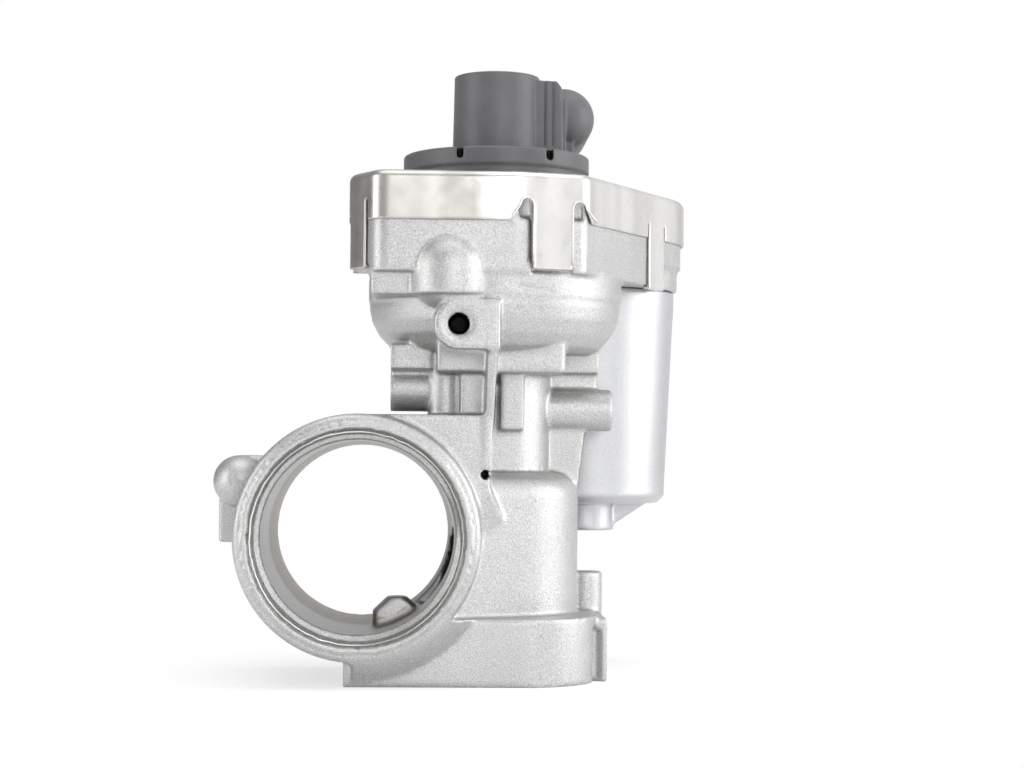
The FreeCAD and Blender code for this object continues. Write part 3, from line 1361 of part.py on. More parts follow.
def make_motor():
    """The motor: steel case, magnets, slotted core, windings, commutator, brushes and shaft."""
    inner = "motor_radius - motor_wall"
    case_foot = f"{CAN_BAND} + 2"
    case_top = "case_low - 4"
    case = [
        ("shaft_bush", case_foot),
        (inner, case_foot),
        ("motor_radius", f"{case_foot} + 1.7"),
        ("motor_radius", case_top),
        (inner, case_top),
        (inner, f"{case_foot} + 2"),
        ("shaft_bush", f"{case_foot} + 2"),
    ]
    node("motor_case", at_motor(turned("motor_case", case)))
    plate = [
        ("shaft_bush", case_top),
        ("motor_radius", case_top),
        ("motor_radius", "case_low"),
        ("pilot_radius", "case_low"),
        ("pilot_radius", FLOOR_TOP),
        ("shaft_bush", FLOOR_TOP),
    ]
    holes = []
    for number, turn in enumerate(MOTOR_SCREW_TURNS):
        x, y = motor_polar("motor_screw_circle", f"train_angle + {turn}")
        holes.append(cylinder(f"end_plate_thread_{number}", "screw_radius", "12", x, y, "case_low - 10"))
    node("motor_end_plate", cut("motor_end_plate", at_motor(turned("end_plate_blank", plate)), *holes))
    bushes = doc.addObject("Part::Compound", "motor_bushes")
    bushes.Links = [
        at_motor(ring("bush_low", "shaft_radius + running_gap", "shaft_bush", f"{case_foot} - 1", f"{case_foot} + 5")),
        at_motor(ring("bush_high", "shaft_radius + running_gap", "shaft_bush", case_top, FLOOR_TOP)),
    ]
    node("motor_bushes", bushes)
    magnet_ring = ring("magnet_ring", "armature_radius + air_gap", inner, f"{CORE_LOW} - 3", f"{CORE_HIGH} + 3")
    gap = block("magnet_gap", ("-40", "40"), ("-7", "7"), (f"{CORE_LOW} - 5", f"{CORE_HIGH} + 5"))
    node("motor_magnets", at_motor(cut("motor_magnets", magnet_ring, gap)))
    slot = [
        ("9", "-1.7"),
        ("15.6", "-2.6"),
        ("16.6", "-0.9"),
        ("armature_radius + 1", "-0.9"),
        ("armature_radius + 1", "0.9"),
        ("16.6", "0.9"),
        ("15.6", "2.6"),
        ("9", "1.7"),
    ]
    core_section = [
        ("shaft_radius", CORE_LOW),
        ("armature_radius", CORE_LOW),
        ("armature_radius", CORE_HIGH),
        ("shaft_radius", CORE_HIGH),
    ]
    core = at_motor(notched("motor_armature", core_section, slot, "10"))
    node("motor_armature", core)
    drum = [
        ("6", f"{CORE_LOW} - 5.5"),
        ("14.5", f"{CORE_LOW} - 5.5"),
        ("16.4", f"{CORE_LOW} - 3.4"),
        ("16.4", f"{CORE_HIGH} + 3.4"),
        ("14.5", f"{CORE_HIGH} + 5.5"),
        ("6", f"{CORE_HIGH} + 5.5"),
    ]
    node("motor_windings", cut("motor_windings", at_motor(turned("winding_drum", drum)), core))
    bars = [
        ("shaft_radius", f"{CORE_HIGH} + 6.5"),
        (COMMUTATOR_RADIUS, f"{CORE_HIGH} + 6.5"),
        (COMMUTATOR_RADIUS, f"{CORE_HIGH} + 15"),
        ("shaft_radius", f"{CORE_HIGH} + 15"),
    ]
    slit = [("4.5", "-0.3"), ("8", "-0.3"), ("8", "0.3"), ("4.5", "0.3")]
    node("motor_commutator", at_motor(notched("motor_commutator", bars, slit, "10")))
    low, high = f"{CORE_HIGH} + 8.5", f"{CORE_HIGH} + 13"
    carbon = [
        block("brush_right", (f"{COMMUTATOR_RADIUS} + 0.3", "17"), ("-2.5", "2.5"), (low, high)),
        block("brush_left", ("-17", f"-{COMMUTATOR_RADIUS} - 0.3"), ("-2.5", "2.5"), (low, high)),
    ]
    brushes = doc.addObject("Part::Compound", "motor_brushes")
    brushes.Links = [at_motor(cut(f"carbon_{i}", piece, cylinder(f"carbon_trim_{i}", f"{COMMUTATOR_RADIUS} + 0.35", "200"))) for i, piece in enumerate(carbon)]
    node("motor_brushes", brushes)
    holder = fuse(
        "holder_solid",
        ring("holder_ring", "9.5", inner, high, f"{high} + 2"),
        block("holder_right", ("9.5", "19"), ("-4.5", "4.5"), (f"{low} - 1.5", f"{high} + 1")),
        block("holder_left", ("-19", "-9.5"), ("-4.5", "4.5"), (f"{low} - 1.5", f"{high} + 1")),
    )
    channel = block("holder_channel", ("-17", "17"), ("-2.5", "2.5"), (low, high))
    node("brush_holder", at_motor(cut("brush_holder", holder, channel)))
    shaft = [("0", f"{CAN_BAND} + 1"), ("shaft_radius", f"{CAN_BAND} + 1"), ("shaft_radius", f"{LARGE_LOW} + pinion_face"), ("0", f"{LARGE_LOW} + pinion_face")]
    node("motor_shaft", at_motor(turned("motor_shaft", shaft)))
    node("can_screws", screws("can_screws", [motor_polar("can_screw_circle", a) for a in CAN_SCREW_ANGLES], "floor_thickness + 8"))
    places = [motor_polar("motor_screw_circle", f"train_angle + {turn}") for turn in MOTOR_SCREW_TURNS]
    node("motor_screws", screws("motor_screws", places, "floor_thickness + 3.6"))


def main():
    """Builds every piece, checks it and writes its STEP file."""
    node("valve_body", make_body())
    node("gear_cover", make_cover())
    node("cover_gasket", make_gasket())
    node("sensor_housing", make_sensor())
    make_sensor_insides()
    make_gear_train()
    make_valve()
    node("motor_can", make_can())
    make_motor()
    doc.recompute()
    for thing in doc.Objects:
        if set(thing.State) & {"Invalid", "Error"}:
            raise RuntimeError(f"{thing.Name} did not build: {thing.State}")
    os.makedirs("parts", exist_ok=True)
    for name, thing in nodes.items():
        shape = thing.Shape
        if shape.isNull() or not shape.isValid() or shape.Volume <= 0:
            raise RuntimeError(f"{name} is not a sound solid")
        shape.exportStep(f"parts/{name}.step")
        print(f"{name:16s} solids {len(shape.Solids)} volume {shape.Volume:10.1f}")


main()
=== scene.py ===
"""Looks of an electric exhaust gas recirculation valve: castings, cover, sensor and what they hold.

Metres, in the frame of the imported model: +Z up along the valve stem, +X right, +Y away from the front.
"""
import math

import bmesh
import bpy
import numpy as np
from mathutils import Matrix, Vector


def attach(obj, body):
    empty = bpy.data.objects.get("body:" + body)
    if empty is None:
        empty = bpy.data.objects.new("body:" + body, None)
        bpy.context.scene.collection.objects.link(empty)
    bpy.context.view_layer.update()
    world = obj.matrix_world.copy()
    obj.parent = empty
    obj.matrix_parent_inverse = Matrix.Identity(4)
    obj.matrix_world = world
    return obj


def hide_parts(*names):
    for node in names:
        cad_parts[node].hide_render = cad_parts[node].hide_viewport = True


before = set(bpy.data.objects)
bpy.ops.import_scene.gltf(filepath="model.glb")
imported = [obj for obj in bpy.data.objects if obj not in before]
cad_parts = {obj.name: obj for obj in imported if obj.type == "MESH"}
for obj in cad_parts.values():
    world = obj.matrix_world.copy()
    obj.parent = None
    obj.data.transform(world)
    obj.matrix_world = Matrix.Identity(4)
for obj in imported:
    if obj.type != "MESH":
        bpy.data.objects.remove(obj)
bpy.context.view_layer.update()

MM = 0.001


# Main casting
# Aluminium alloy, die-cast and then blasted, so its edges are round and its skin is a fine sparkling
# grain. The air pipe's mouth and bore are turned, and the small holes on the front are drilled; their
# walls are painted near black, as painted shade for the dark inside of deep holes.
def linear(code):
    """A colour written as six hex digits of sRGB, as linear red, green, blue and alpha."""
    parts = np.array([int(code[i:i + 2], 16) for i in (0, 2, 4)]) / 255.0
    low, high = parts / 12.92, ((parts + 0.055) / 1.055) ** 2.4
    return (*[float(v) for v in np.where(parts <= 0.04045, low, high)], 1.0)


def link(tree, node, **inputs):
    """Sets a node's inputs, named or as i and a number, to values, outputs or nodes' first outputs."""
    for name, value in inputs.items():
        socket = node.inputs[int(name[1:])] if name[1:].isdigit() else node.inputs[name.replace("_", " ")]
        if isinstance(value, bpy.types.Node):
            value = value.outputs[0]
        if isinstance(value, bpy.types.NodeSocket):
            tree.links.new(value, socket)
        else:
            socket.default_value = value
    return node


def add(tree, kind, settings=None, **inputs):
    """A new node of a kind, with its settings made and its inputs set or linked."""
    made = tree.nodes.new("ShaderNode" + kind)
    for name, value in (settings or {}).items():
        setattr(made, name, value)
    return link(tree, made, **inputs)


def blank(name):
    """A new material, its tree, its Principled shader and the object's own coordinates in millimetres."""
    material = bpy.data.materials.new(name)
    material.use_nodes = True
    tree = material.node_tree
    tree.nodes.clear()
    shader = add(tree, "BsdfPrincipled")
    add(tree, "OutputMaterial", Surface=shader)
    own = add(tree, "TexCoord").outputs["Object"]
    return material, tree, shader, add(tree, "VectorMath", {"operation": "SCALE"}, i0=own, Scale=1000.0)


IN_COLOUR = {"data_type": "RGBA"}


def blasted_alloy(name, light, dark, grain, depth, rough):
    """Cast aluminium with a blasted skin: pits that sparkle, under faint clouds of tone 20 mm across.

    The grain is in waves to the millimetre and its depth in millimetres, both drawn coarser than the
    real grit, which would be too fine to show.
    """
    material, tree, shader, where = blank(name)
    fine = add(tree, "TexNoise", None, Vector=where, Scale=grain, Detail=3.0, Roughness=0.7)
    pits = add(tree, "TexNoise", None, Vector=where, Scale=grain * 0.45, Detail=2.0, Roughness=0.6)
    clouds = add(tree, "TexNoise", None, Vector=where, Scale=0.05, Detail=3.0, Roughness=0.6)
    raised = add(tree, "MapRange", None, Value=fine, From_Min=0.35, From_Max=0.65)
    tone = add(tree, "Mix", IN_COLOUR, i0=raised, i6=linear(dark), i7=linear(light)).outputs[2]
    patches = add(tree, "MapRange", None, Value=clouds, From_Min=0.3, From_Max=0.7, To_Max=0.25)
    cloudy = add(tree, "Mix", IN_COLOUR, i0=patches, i6=tone, i7=linear(dark)).outputs[2]
    sheen = {"From_Min": 0.3, "From_Max": 0.7, "To_Min": rough - 0.08, "To_Max": rough + 0.1}
    first = add(tree, "Bump", None, Height=pits, Distance=depth * 1.6 * MM, Strength=0.7)
    second = add(tree, "Bump", None, Height=fine, Distance=depth * MM, Strength=0.9, Normal=first)
    gloss = add(tree, "MapRange", None, Value=fine, **sheen)
    link(tree, shader, Metallic=1.0, Base_Color=cloudy, Roughness=gloss, Normal=second)
    return material


def turned_alloy(name, light, dark, rough, axis, per_mm):
    """Alloy cut on a lathe: fine rings about an axis along Y, so many to the millimetre, with stains."""
    material, tree, shader, where = blank(name)
    offset = add(tree, "VectorMath", {"operation": "SUBTRACT"}, i0=where, i1=axis)
    flat = add(tree, "VectorMath", {"operation": "MULTIPLY"}, i0=offset, i1=(1.0, 0.0, 1.0))
    radius = add(tree, "VectorMath", {"operation": "LENGTH"}, i0=flat).outputs["Value"]
    along = add(tree, "SeparateXYZ", None, i0=where).outputs[1]
    ringed = add(tree, "CombineXYZ", None, X=radius, Y=along)
    rings = add(tree, "TexNoise", None, Vector=ringed, Scale=per_mm, Detail=2.0, Roughness=0.7)
    stains = add(tree, "TexNoise", None, Vector=where, Scale=0.35, Detail=4.0, Roughness=0.65)
    crests = add(tree, "MapRange", None, Value=rings, From_Min=0.35, From_Max=0.65)
    tone = add(tree, "Mix", IN_COLOUR, i0=crests, i6=linear(dark), i7=linear(light)).outputs[2]
    spots = add(tree, "MapRange", None, Value=stains, From_Min=0.5, From_Max=0.75, To_Max=0.6)
    stained = add(tree, "Mix", IN_COLOUR, i0=spots, i6=tone, i7=linear(dark)).outputs[2]
    cut = add(tree, "Bump", None, Height=rings, Distance=0.04 * MM, Strength=0.7)
    link(tree, shader, Metallic=1.0, Base_Color=stained, Roughness=rough, Normal=cut)
    return material


PIPE_AXIS, EAR_AXIS, VENT_AXIS = (-43.0, 0.0, 46.0), (-12.5, 0.0, 111.8), (-3.7, 0.0, 65.5)
CAST_ALLOY = blasted_alloy("cast_alloy", "d4d4d3", "a0a09f", 2.3, 0.08, 0.44)
SEAT_FINISH = turned_alloy("turned_alloy", "b3afaa", "7f7b77", 0.42, PIPE_AXIS, 1.8)
BORE_FINISH = turned_alloy("bored_alloy", "bdb8b3", "928d88", 0.5, PIPE_AXIS, 0.9)
# Near-black turned rings: painted shade for the walls of deep holes and of the sensor disc's slots.
PAINTED_HOLE_SHADE = turned_alloy("painted_hole_shade", "2c2c2c", "161616", 0.6, EAR_AXIS, 2.0)


def dress(finish, *nodes):
    """Gives a finish to the meshes of CAD nodes."""
    for node in nodes:
        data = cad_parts[node].data
        data.materials.clear()
        data.materials.append(finish)


def baked(made):
    """The object with its modifiers made part of its mesh."""
    graph = bpy.context.evaluated_depsgraph_get()
    graph.update()
    data = bpy.data.meshes.new_from_object(made.evaluated_get(graph), depsgraph=graph)
    made.modifiers.clear()
    made.data = data


def welded(name, node):
    """A copy of a node's mesh with the seams between its faces closed."""
    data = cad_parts[node].data.copy()
    data.name = name
    work = bmesh.new()
    work.from_mesh(data)
    bmesh.ops.remove_doubles(work, verts=work.verts, dist=1e-6)
    work.to_mesh(data)
    work.free()
    made = bpy.data.objects.new(name, data)
    bpy.context.collection.objects.link(made)
    return made


def rows(elements, field):
    """A field of three numbers of each element of a mesh, as rows."""
    flat = np.empty(len(elements) * 3)
    elements.foreach_get(field, flat)
    return flat.reshape(-1, 3)


def blended(made, centre, radius, passes):
    """The piece smoothed so many times round a point, fading out in ten steps towards a radius."""
    away = np.linalg.norm(rows(made.data.vertices, "co") / MM - np.array(centre), axis=1)
    group = made.vertex_groups.new(name="blend")
    for level in range(1, 11):
        band = np.where((away < radius * (1.1 - level / 10)) & (away >= radius * (1.0 - level / 10)))[0]
        group.add(band.tolist(), level / 10, "REPLACE")
    smooth = made.modifiers.new("blend", "SMOOTH")
    smooth.factor, smooth.iterations, smooth.vertex_group = 0.5, passes, "blend"
    baked(made)
    made.vertex_groups.clear()


def softened(name, node, finish, voxel, passes, share, tools=(), blends=()):
    """A copy of a node with round edges, which stands for the node and takes its finish and slot.

    It is cut by the tools, remeshed at a voxel size in millimetres, smoothed so many times, blended
    round the points given, and thinned to a share of its faces.
    """
    made = welded(name, node)
    for tool in tools:
        bpy.context.collection.objects.link(tool)
        cutting = made.modifiers.new("cut", "BOOLEAN")
        cutting.operation, cutting.solver, cutting.object = "DIFFERENCE", "EXACT", tool
        baked(made)
        bpy.data.objects.remove(tool)
    remesh = made.modifiers.new("voxels", "REMESH")
    remesh.mode, remesh.voxel_size = "VOXEL", voxel * MM
    smooth = made.modifiers.new("smooth", "SMOOTH")
    smooth.factor, smooth.iterations = 0.5, passes
    baked(made)
    for centre, radius, more in blends:
        blended(made, centre, radius, more)
    made.modifiers.new("thin", "DECIMATE").ratio = share
    baked(made)
    made.data.shade_smooth()
    made.data.materials.clear()
    made.data.materials.append(finish)
    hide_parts(node)
    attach(made, "housing")
    return made


def skinned(name, rings, endless=False):
    """A mesh through rings of points in millimetres: a grid of rings by the points round each.

    Four-sided faces join each ring to the next. The last ring joins the first if it is endless, and
    otherwise a flat face closes each end. Normals point outwards.
    """
    count, n = rings.shape[:2]
    ring, side = np.meshgrid(np.arange(count if endless else count - 1), np.arange(n), indexing="ij")
    after, beside = (ring + 1) % count, (side + 1) % n
    corners = [ring * n + side, ring * n + beside, after * n + beside, after * n + side]
    faces = np.stack(corners, axis=-1).reshape(-1, 4).tolist()
    if not endless:
        faces += [list(range(n)), list(range((count - 1) * n, count * n))]
    data = bpy.data.meshes.new(name)
    data.from_pydata((rings.reshape(-1, 3) * MM).tolist(), [], faces)
    work = bmesh.new()
    work.from_mesh(data)
    bmesh.ops.recalc_face_normals(work, faces=work.faces)
    work.to_mesh(data)
    work.free()
    return bpy.data.objects.new(name, data)


# The front wall of the gear case: the direction that it faces in degrees, and how far the cover's outer
# face is from the stem. Recesses behind the cover's notches, and a gap beside its tab, are cast in it.
# Depths on this wall are measured inwards from the cover's face, and tools start outside it.
FRONT_FACING, FRONT_DISTANCE, TOOL_START = math.radians(-72.4), 42.9, -1.0
RECESS_NEAR, RECESS_FAR, TAB_GAP = (-7.2, -2.4, 151.4), (9.6, 14.4, 150.8), (-3.7, -2.3, 146.0)
RECESS_LOW, RECESS_DEPTH, GAP_LOW, GAP_DEPTH = 144.6, 2.7, 130.5, 3.0


def on_front(along, up, depth):
    """Points in millimetres on the front wall: along it, up, and so deep inwards from the cover's face."""
    along, up, depth = np.broadcast_arrays(*(np.asarray(v, float) for v in (along, up, depth)))
    out = FRONT_DISTANCE - depth
    x = out * math.cos(FRONT_FACING) - along * math.sin(FRONT_FACING)
    y = out * math.sin(FRONT_FACING) + along * math.cos(FRONT_FACING)
    return np.stack([x, y, up], axis=-1)


def front_tool(name, outline, deep, start=TOOL_START):
    """A tool over an outline on the front wall, from a start to a depth."""
    along, up = np.array(outline).T
    return skinned(name, on_front(along, up, np.array([[start], [deep]])))


def arch(low, left, right, top, flare=0.0):
    """The outline of a round-topped notch, its left foot flared if the flare is negative, else its right."""
    radius = (right - left) / 2
    angle = np.linspace(0.0, np.pi, 13)
    dome = np.stack([left + radius + radius * np.cos(angle), top - radius + radius * np.sin(angle)], axis=1)
    return [(left + min(flare, 0.0), low), (right + max(flare, 0.0), low), *dome.tolist()]


# A shallow wedge-shaped groove cut along the mould's parting line under the front wall, over angles about
# the stem.
FLASH_ANGLES, FLASH_RADII = np.linspace(-81.0, -52.0, 9), np.array([40.6, 50.0, 50.0, 40.6])
FLASH_LOW, FLASH_HIGH = np.linspace(122.6, 121.1, 9), np.linspace(124.4, 121.4, 9)
across = np.radians(FLASH_ANGLES)[:, None]
heights = np.stack([FLASH_LOW, FLASH_LOW, FLASH_HIGH, FLASH_HIGH], axis=1)
flash = np.stack([FLASH_RADII * np.cos(across), FLASH_RADII * np.sin(across), heights], axis=-1)

# Wide blends of the casting where the pipe runs into the chamber, and under the front of the bowl: the
# middle, the radius that it fades out at, and how many times it is smoothed.
PIPE_BLEND, BOWL_BLEND = ((-9.0, -34.0, 54.0), 11.0, 50), ((3.0, -25.0, 96.0), 21.0, 12)
casting = softened(
    "cast_body", "valve_body", CAST_ALLOY, voxel=0.7, passes=4, share=0.3,
    tools=[
        front_tool("recess_near", arch(RECESS_LOW, *RECESS_NEAR), RECESS_DEPTH),
        front_tool("recess_far", arch(RECESS_LOW, *RECESS_FAR), RECESS_DEPTH),
        front_tool("gap_near", arch(GAP_LOW, *TAB_GAP), GAP_DEPTH),
        skinned("flash_wedge", flash),
    ],
    blends=[PIPE_BLEND, BOWL_BLEND],
)
dress(CAST_ALLOY, "valve_body")


# The pipe's mouth is worn: from its flat lip it dips towards the bore as the square of the way across,
# and a little further in than its inner edge.
MOUTH_FRONT, MOUTH_BACK, MOUTH_OUTER, MOUTH_INNER, MOUTH_DROP = -46.6, -43.9, 35.2, 32.2, 0.45
MOUTH_LIMIT = MOUTH_INNER - 0.3
points = rows(casting.data.vertices, "co") / MM
from_pipe = np.hypot(points[:, 0] - PIPE_AXIS[0], points[:, 2] - PIPE_AXIS[2])
inward = np.clip((MOUTH_OUTER - from_pipe) / (MOUTH_OUTER - MOUTH_INNER), 0.0, 1.0)
worn = (from_pipe > MOUTH_LIMIT) & (from_pipe < MOUTH_OUTER) & (points[:, 1] < MOUTH_BACK)
points[worn, 1] = np.minimum(points[worn, 1], MOUTH_FRONT + MOUTH_DROP * inward[worn] ** 2)
casting.data.vertices.foreach_set("co", (points * MM).ravel())
casting.data.update()

# Radii from each axis and depths along Y, in millimetres, of the faces that a tool has cut.
BORE_RADII, BORE_DEPTHS = (27.2, 29.7), (-41.0, 100.0)
SEAT_RADII, SEAT_DEPTHS = (28.2, 32.35), (-45.9, -40.0)
VENT_RADII, VENT_DEPTHS = (0.0, 1.25), (-35.6, -20.0)
VENT_RIM_RADII, VENT_RIM_DEPTHS = (1.2, 1.7), (-35.6, -34.0)
EAR_RADII, EAR_DEPTHS = (0.0, 3.3), (-42.0, -30.0)
OUTWARD_LIMIT = 0.9


def cut_faces(made, axis, radii, depths):
    """Which faces of a piece lie between two radii from an axis along Y and between two depths."""
    middle = rows(made.data.polygons, "center") / MM
    away = np.hypot(middle[:, 0] - axis[0], middle[:, 2] - axis[2])
    return (away > radii[0]) & (away < radii[1]) & (middle[:, 1] > depths[0]) & (middle[:, 1] < depths[1])


def facing_axis(made, axis):
    """Which faces of a piece don't look away from an axis along Y, so a hole's own and not those outside."""
    outward = (rows(made.data.polygons, "center") / MM - axis) * rows(made.data.polygons, "normal")
    return outward[:, 0] + outward[:, 2] < OUTWARD_LIMIT


def finish_faces(made, chosen, finish):
    """Another finish on the chosen faces of a piece."""
    slot = len(made.data.materials)
    made.data.materials.append(finish)
    given = np.empty(len(made.data.polygons), np.int32)
    made.data.polygons.foreach_get("material_index", given)
    given[chosen] = slot
    made.data.polygons.foreach_set("material_index", given)


# The vent's walls and front rim and the ear hole's walls get the near-black painted shade.
shaded_vent_faces = cut_faces(casting, VENT_AXIS, VENT_RADII, VENT_DEPTHS)
shaded_vent_faces |= cut_faces(casting, VENT_AXIS, VENT_RIM_RADII, VENT_RIM_DEPTHS)
finish_faces(casting, cut_faces(casting, PIPE_AXIS, BORE_RADII, BORE_DEPTHS), BORE_FINISH)
finish_faces(casting, cut_faces(casting, PIPE_AXIS, SEAT_RADII, SEAT_DEPTHS), SEAT_FINISH)
finish_faces(casting, shaded_vent_faces & facing_axis(casting, VENT_AXIS), PAINTED_HOLE_SHADE)
finish_faces(casting, cut_faces(casting, EAR_AXIS, EAR_RADII, EAR_DEPTHS), PAINTED_HOLE_SHADE)


# Motor can
# Aluminium alloy, cast in a smoother mould and only lightly blasted, so it is paler and finer than the
# main casting. It is screwed up under the gear case and holds the motor.
CAN_ALLOY = blasted_alloy("can_alloy", "cbcbcd", "b4b4b6", 2.6, 0.03, 0.42)
softened("cast_can", "motor_can", CAN_ALLOY, voxel=0.7, passes=4, share=0.7)
dress(CAN_ALLOY, "motor_can")


# Sheet cover
# Bright steel sheet, stamped, and crimped round the case by its tabs. Upright light and dark stripes
# in its colour are painted reflections of the room, and the press turns out a lip round the notch at
# each side of the front tab.
def stamped_steel(name, light, dark, rough):
    """Stamped bright steel: upright stripes 18 mm apart as painted reflections, smears and fine scratches.
    """
    material, tree, shader, where = blank(name)
    # Upright light and dark stripes in the colour: painted reflections of the room, not marks of the die.
    drawn = add(tree, "Mapping", None, Vector=where, Scale=(1.0, 1.0, 0.06))
    rubbed = add(tree, "Mapping", None, Vector=where, Scale=(0.2, 0.2, 6.0))
    reflection_bands = add(tree, "TexNoise", None, Vector=drawn, Scale=0.055, Detail=1.0, Roughness=0.4)
    smears = add(tree, "TexNoise", None, Vector=where, Scale=0.16, Detail=4.0, Roughness=0.6)
    scratches = add(tree, "TexNoise", None, Vector=rubbed, Scale=1.4, Detail=3.0, Roughness=0.6)
    crests = add(tree, "MapRange", None, Value=reflection_bands, From_Min=0.36, From_Max=0.62)
    tone = add(tree, "Mix", IN_COLOUR, i0=crests, i6=linear(dark), i7=linear(light)).outputs[2]
    dulled = add(tree, "MapRange", None, Value=smears, From_Min=0.5, From_Max=0.8, To_Max=0.35)
    # Painted reflection stripes, darkened in places by real smears.
    reflection_and_wear_tone = add(tree, "Mix", IN_COLOUR, i0=dulled, i6=tone, i7=linear(dark)).outputs[2]
    sheen = {"From_Min": 0.3, "From_Max": 0.75, "To_Min": rough - 0.05, "To_Max": rough + 0.12}
    gloss = add(tree, "MapRange", None, Value=smears, **sheen)
    first = add(tree, "Bump", None, Height=smears, Distance=0.03 * MM, Strength=1.0)
    second = add(tree, "Bump", None, Height=scratches, Distance=0.003 * MM, Strength=0.6, Normal=first)
    link(tree, shader, Metallic=1.0, Base_Color=reflection_and_wear_tone, Roughness=gloss, Normal=second)
    return material


COVER_STEEL = stamped_steel("cover_steel", "dedcd9", "a9a6a2", 0.30)
SKIRT_LOW, TAB_LOW, TAB_LEFT, TAB_RIGHT = 143.8, 129.0, -2.75, 10.05
NOTCH_LOW, NOTCH_WIDTH, NOTCH_NEAR_TOP, NOTCH_FAR_TOP = SKIRT_LOW - 0.6, 4.6, 150.9, 150.4
FLARE_START, FLARE_DEPTH = -4.0, 3.5
NOTCH_NEAR = arch(NOTCH_LOW, TAB_LEFT - NOTCH_WIDTH, TAB_LEFT, NOTCH_NEAR_TOP, flare=-3.0)
NOTCH_FAR = arch(NOTCH_LOW, TAB_RIGHT, TAB_RIGHT + NOTCH_WIDTH, NOTCH_FAR_TOP, flare=3.5)
softened(
    "stamped_cover", "gear_cover", COVER_STEEL, voxel=0.36, passes=2, share=0.36,
    tools=[
        front_tool("flare_near", NOTCH_NEAR, FLARE_DEPTH, FLARE_START),
        front_tool("flare_far", NOTCH_FAR, FLARE_DEPTH, FLARE_START),
    ],
)
dress(COVER_STEEL, "gear_cover")


LIP_RADIUS, LIP_DEPTH, TUBE_SIDES = 0.36, 0.05, 8
SKIRT_FOOT, TAB_FOOT = SKIRT_LOW + 0.4, TAB_LOW + 1.5


def swept(name, route, radii, endless):
    """A tube in bright steel along a route in millimetres, with a radius at each point.

    The direction at a point runs from the point before it to the point after it. Each ring is the
    cosine of its angles along one direction, square to that and to the Y axis, plus their sine along
    another, square to both.
    """
    ahead = np.roll(route, -1, axis=0) - np.roll(route, 1, axis=0)
    if not endless:
        ahead[0], ahead[-1] = route[1] - route[0], route[-1] - route[-2]
    ahead /= np.linalg.norm(ahead, axis=1, keepdims=True)
    aside = np.cross(ahead, (0.0, 1.0, 0.0))
    aside /= np.linalg.norm(aside, axis=1, keepdims=True)
    over = np.cross(aside, ahead)
    angle = (np.arange(TUBE_SIDES) * 2 * np.pi / TUBE_SIDES)[None, :, None]
    ring = aside[:, None] * np.cos(angle) + over[:, None] * np.sin(angle)
    made = skinned(name, route[:, None] + ring * np.reshape(radii, (-1, 1, 1)), endless)
    made.data.shade_smooth()
    made.data.materials.append(COVER_STEEL)
    bpy.context.collection.objects.link(made)
    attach(made, "housing")


def lip(name, outline, low_left, low_right):
    """The turned-out lip of a notch, which runs up its right side, over the top and down its left."""
    bends = np.array([(outline[1][0], low_right), *outline[2:], (outline[0][0], low_left)])
    steps = np.linspace(0, len(bends) - 1, 4 * len(bends))
    along, up = (np.interp(steps, np.arange(len(bends)), bends[:, i]) for i in (0, 1))
    swept(name, on_front(along, up, LIP_DEPTH), np.full(len(steps), LIP_RADIUS), False)


lip("lip_near", NOTCH_NEAR, SKIRT_FOOT, TAB_FOOT)
lip("lip_far", NOTCH_FAR, TAB_FOOT, SKIRT_FOOT)


# Burr of the pipe's seat
# The cutter has left a rough edge of alloy between the mouth's lip and its seat, as bright as the cover.
# Its radius and thickness waver by a running mean of five random draws.
BURR_POINTS, BURR_REACH, BURR_WAVE, BURR_SIZE, BURR_SWELL, BURR_DEPTH = 420, 0.1, 0.14, 0.2, 0.08, 0.4
BURR_MEAN = np.ones(5) / 5
chance = np.random.default_rng(4)
turn = np.linspace(0.0, 2 * np.pi, BURR_POINTS, endpoint=False)
draws = np.tile(chance.normal(0, 1, BURR_POINTS), 3)
rough_edge = np.convolve(draws, BURR_MEAN, "same")[BURR_POINTS:2 * BURR_POINTS]
burr_radius = MOUTH_INNER + BURR_REACH + BURR_WAVE * rough_edge
burr_x, burr_z = PIPE_AXIS[0] + burr_radius * np.cos(turn), PIPE_AXIS[2] + burr_radius * np.sin(turn)
burr = np.stack([burr_x, np.full(BURR_POINTS, MOUTH_FRONT + BURR_DEPTH), burr_z], axis=1)
swept("seat_burr", burr, BURR_SIZE + BURR_SWELL * np.abs(rough_edge), True)


# Position sensor
# The housing is glass-filled nylon, injection moulded, near black with a satin skin. Its base disc has
# two deep slots in its edge, whose walls lie in the dark and carry painted shade in a near-black colour.
def moulded(name, light, dark, rough, grain, depth, coat=0.0):
    """A moulded skin: an eroded grain in waves to the millimetre, over flow marks 11 mm across."""
    material, tree, shader, where = blank(name)
    skin = add(tree, "TexNoise", None, Vector=where, Scale=grain, Detail=3.0, Roughness=0.6)
    flow = add(tree, "TexNoise", None, Vector=where, Scale=0.09, Detail=3.0, Roughness=0.6)
    marks = add(tree, "MapRange", None, Value=flow, From_Min=0.3, From_Max=0.7)
    tone = add(tree, "Mix", IN_COLOUR, i0=marks, i6=linear(light), i7=linear(dark)).outputs[2]
    sheen = {"From_Min": 0.3, "From_Max": 0.7, "To_Min": rough - 0.05, "To_Max": rough + 0.07}
    gloss = add(tree, "MapRange", None, Value=skin, **sheen)
    eroded = add(tree, "Bump", None, Height=skin, Distance=depth * MM, Strength=0.6)
    link(tree, shader, Base_Color=tone, Roughness=gloss, Normal=eroded, Coat_Weight=coat)
    return material


